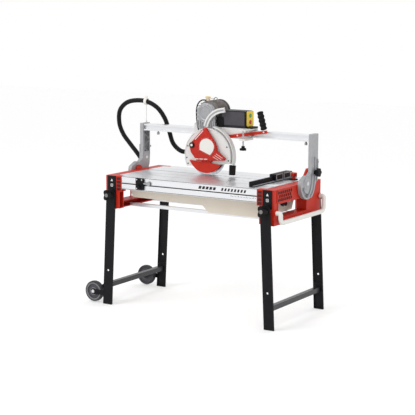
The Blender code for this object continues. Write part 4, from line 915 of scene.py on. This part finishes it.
def handGrip():
    # rings across a leaning axis: the radius runs in waves, one for each finger, and rounds off at both ends
    base, top = np.array(gripLook["base"]), np.array(gripLook["top"])
    along = (top - base) / np.linalg.norm(top - base)
    share = np.linspace(0, 1, 64)
    ends = np.sqrt(np.clip(1 - np.abs(2 * share - 1) ** 14, 0, 1))
    wave = gripLook["wave"] * np.cos(2 * np.pi * (share * gripLook["waves"] - gripLook["phase"]))
    radius = (gripLook["radius"] + wave) * (0.35 + 0.65 * ends)
    angles = 2 * np.pi * np.arange(40) / 40
    side, back = np.array([along[2], 0, -along[0]]), np.array([0, gripLook["flat"], 0])
    middle = base + np.outer(share, top - base)
    round40 = np.cos(angles)[:, None] * side + np.sin(angles)[:, None] * back
    rows = middle[:, None] + radius[:, None, None] * round40[None]
    piece("grip_surface", rings(rows), "blackPlastic", "head", stands=("hand_grip",))
    bolts = boltHeads(gripLook["bolts"], (0.0055, 0.0055, 0.0038), (0.0890, 0.0865, 0.0852), 20)
    piece("lever_bolts", bolts, "steel", "head")


handGrip()
print("head is made")

# Fence and clamp
fenceLook = {"scale": ((0.4125, 0.4330), (-0.243, 0.260)), "firstTick": -0.240, "ticks": 50, "tickStep": 0.010,
             "windows": ((0.034, 0.104), (0.126, 0.196)), "windowZ": (0.8095, 0.8375), "frameZ": (0.8068, 0.8412),
             "frameWide": 0.005, "hub": (0.470, 0.155)}


def fenceTrim():
    scale = plate("Z", (0.8045, 0.8055), rounded(*fenceLook["scale"], 0.001), 0.0002)
    piece("fence_scale", scale, "paleAlloy", "fence")
    ticks = []
    for k in range(fenceLook["ticks"]):
        y, far = fenceLook["firstTick"] + fenceLook["tickStep"] * k, 0.4130 + (0.010 if k % 5 == 0 else 0.006)
        ticks.append(plate("Z", (0.8050, 0.8057), rounded((0.4130, far), (y - 0.0006, y + 0.0006), 0.0002, 1), 0.0001))
    piece("fence_ticks", ticks, "inkGrey", "fence")
    windows = [rounded(span, fenceLook["windowZ"], 0.002) for span in fenceLook["windows"]]
    # dark panes inside the stop block's window frames: painted shade in the openings
    panes = [plate("X", (0.4210, 0.4224), window, 0.0001) for window in windows]
    piece("stop_window_shade", panes, "paintedGapShade", "stop_block")
    wide = fenceLook["frameWide"]
    frames = [plate("X", (0.4210, 0.4236), rounded((near - wide, far + wide), fenceLook["frameZ"], 0.003), 0.0005,
                    [window]) for (near, far), window in zip(fenceLook["windows"], windows)]
    piece("stop_frames", frames, "paleAlloy", "stop_block")
    hub = fenceLook["hub"]
    body = lobedRings("Z", hub, spans(0.822, 0.842), 0.021, 6, 0.003)
    stem = turned("Z", hub, [(0.0105, 0.8058), (0.0105, 0.8080), (0.0090, 0.8100), (0.0090, 0.8230)], 28)
    piece("fence_knob_body", [body, stem], "redPlastic", "fence_knob", stands=("fence_knob",))
    nut = turned("Z", hub, [(0.0060, 0.8415), (0.0060, 0.8440), (0.0045, 0.8450)], 6)
    piece("fence_knob_nut", nut, "steel", "fence_knob")


fenceTrim()

clampLook = {"face": -0.2791, "knob": (-0.332, 0.7520), "knobRadius": 0.0125, "knobDepth": 0.004,
             "bolts": ((-0.350, 0.789), (-0.313, 0.789), (-0.350, 0.736)), "disc": (-0.270, 0.7675)}


def clampTrim():
    face = clampLook["face"]
    knob = lobedRings("Y", clampLook["knob"], spans(face - 0.034, face - 0.020), clampLook["knobRadius"], 4,
                      clampLook["knobDepth"])
    piece("clamp_knob", knob, "blackPlastic", "apron_clamp")
    bolts = boltHeads(clampLook["bolts"], (0.0042, 0.0042, 0.0030), (face - 0.011, face - 0.0145, face - 0.0155), 16)
    piece("clamp_bolts", bolts, "steel", "apron_clamp")
    arm = plate("Y", (face - 0.0090, face - 0.0040), rounded((-0.306, -0.272), (0.7640, 0.7710), 0.002), 0.0006)
    disc = turned("Y", clampLook["disc"], [(0.0130, face - 0.004), (0.0135, face - 0.006), (0.0130, face - 0.0095)], 32)
    piece("clamp_pointer", [arm, disc], "paleAlloy", "apron_clamp")


clampTrim()
print("fence and clamp are made")

# Hose
hoseLook = {
    "radius": 0.0148, "pitch": 0.0080, "groove": 0.0011, "clip": (-0.596, 0.165, 1.213),
    "lower": ((-0.6210, 0.237, 0.7571), (-0.658, 0.237, 0.794), (-0.704, 0.234, 0.857), (-0.765, 0.228, 0.925),
              (-0.816, 0.219, 0.990), (-0.838, 0.208, 1.060), (-0.822, 0.192, 1.140), (-0.765, 0.178, 1.192),
              (-0.690, 0.168, 1.214)),
    "upper": ((-0.520, 0.176, 1.176), (-0.480, 0.200, 1.110), (-0.462, 0.222, 1.030), (-0.440, 0.236, 0.950),
              (-0.385, 0.243, 0.905), (-0.325, 0.242, 0.910), (-0.275, 0.236, 0.950), (-0.238, 0.228, 0.992),
              (-0.229, 0.226, 1.026), (-0.2290, 0.226, 1.0560)),
}


def hosePiece(name, line, first, last):
    # radius - groove * (1 - cos(2 pi s / pitch)) / 2, s being the distance along the hose
    path = evenly(line, hoseLook["pitch"] / 5)
    walked = np.arange(len(path)) * np.linalg.norm(path[1] - path[0])
    ridge = 0.5 - 0.5 * np.cos(2 * np.pi * walked / hoseLook["pitch"])
    shape = tubeAlong(path, hoseLook["radius"] - hoseLook["groove"] * ridge, 20)
    made = piece(name, shape, "hoseBlack", None, 60, stands=("hose",))
    start, end = path[0] + (midX, 0, 0), path[-1] + (midX, 0, 0)
    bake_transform(made, first, last, start, end)
    return made, evenly(line, 0.004) + (midX, 0, 0)


wholeLine = smoothLine([*hoseLook["lower"], hoseLook["clip"], *hoseLook["upper"]], 16)
clipAt = int(np.argmin(np.linalg.norm(wholeLine - np.array(hoseLook["clip"]), axis=1)))
for name, line, bodies in (("hose_lower", wholeLine[:clipAt + 1], ("table", "bridge")),
                           ("hose_upper", wholeLine[clipAt:], ("bridge", "carriage"))):
    made, path = hosePiece(name, line, *bodies)


def hoseTrim():
    x, y, z = hoseLook["clip"]
    loop = [(0.0152, x - 0.009), (0.0212, x - 0.009), (0.0225, x - 0.006), (0.0225, x + 0.006), (0.0212, x + 0.009),
            (0.0152, x + 0.009)]
    piece("hose_clip", ringTurned("X", (y, z), loop, 40), "ivory", "bridge")
    tab = plate("Y", (y - 0.004, y + 0.004), rounded((x - 0.007, x + 0.007), (z + 0.019, z + 0.034), 0.003), 0.001)
    piece("hose_clip_tab", tab, "ivory", "bridge")


hoseTrim()
print("hose is made")

# Floor and light
def studio():
    floorMesh = bpy.data.meshes.new("floor")
    reach = 14
    floorMesh.from_pydata([(-reach, -reach, 0), (reach, -reach, 0), (reach, reach, 0), (-reach, reach, 0)], [],
                          [(0, 1, 2, 3)])
    floor = bpy.data.objects.new("floor", floorMesh)
    bpy.context.scene.collection.objects.link(floor)
    pale = bpy.data.materials.new("paleFloor")
    pale.use_nodes = True
    shader = pale.node_tree.nodes["Principled BSDF"]
    shader.inputs["Base Color"].default_value = (0.62, 0.62, 0.62, 1)
    shader.inputs["Emission Color"].default_value = (1, 1, 1, 1)
    shader.inputs["Emission Strength"].default_value = 0.34
    shader.inputs["Roughness"].default_value = 0.9
    floorMesh.materials.append(pale)
    world = bpy.data.worlds.new("studio")
    world.use_nodes = True
    world.node_tree.nodes["Background"].inputs["Color"].default_value = (1, 1, 1, 1)
    world.node_tree.nodes["Background"].inputs["Strength"].default_value = 1.0
    bpy.context.scene.world = world
    bpy.context.scene.view_settings.view_transform = "Standard"
    for name, place, power, size in (("key", (-2.2, -3.6, 4.2), 90, 2.0), ("fill", (3.8, -2.4, 2.6), 12, 3.0),
                                     ("rim", (0.5, 3.4, 3.2), 25, 2.4)):
        lamp = bpy.data.lights.new(name, "AREA")
        lamp.energy, lamp.size = power, size
        light = bpy.data.objects.new(name, lamp)
        light.location = place
        light.rotation_euler = (Vector((0, 0, 0.7)) - Vector(place)).to_track_quat("-Z", "Y").to_euler()
        bpy.context.scene.collection.objects.link(light)


studio()
print("studio is lit")
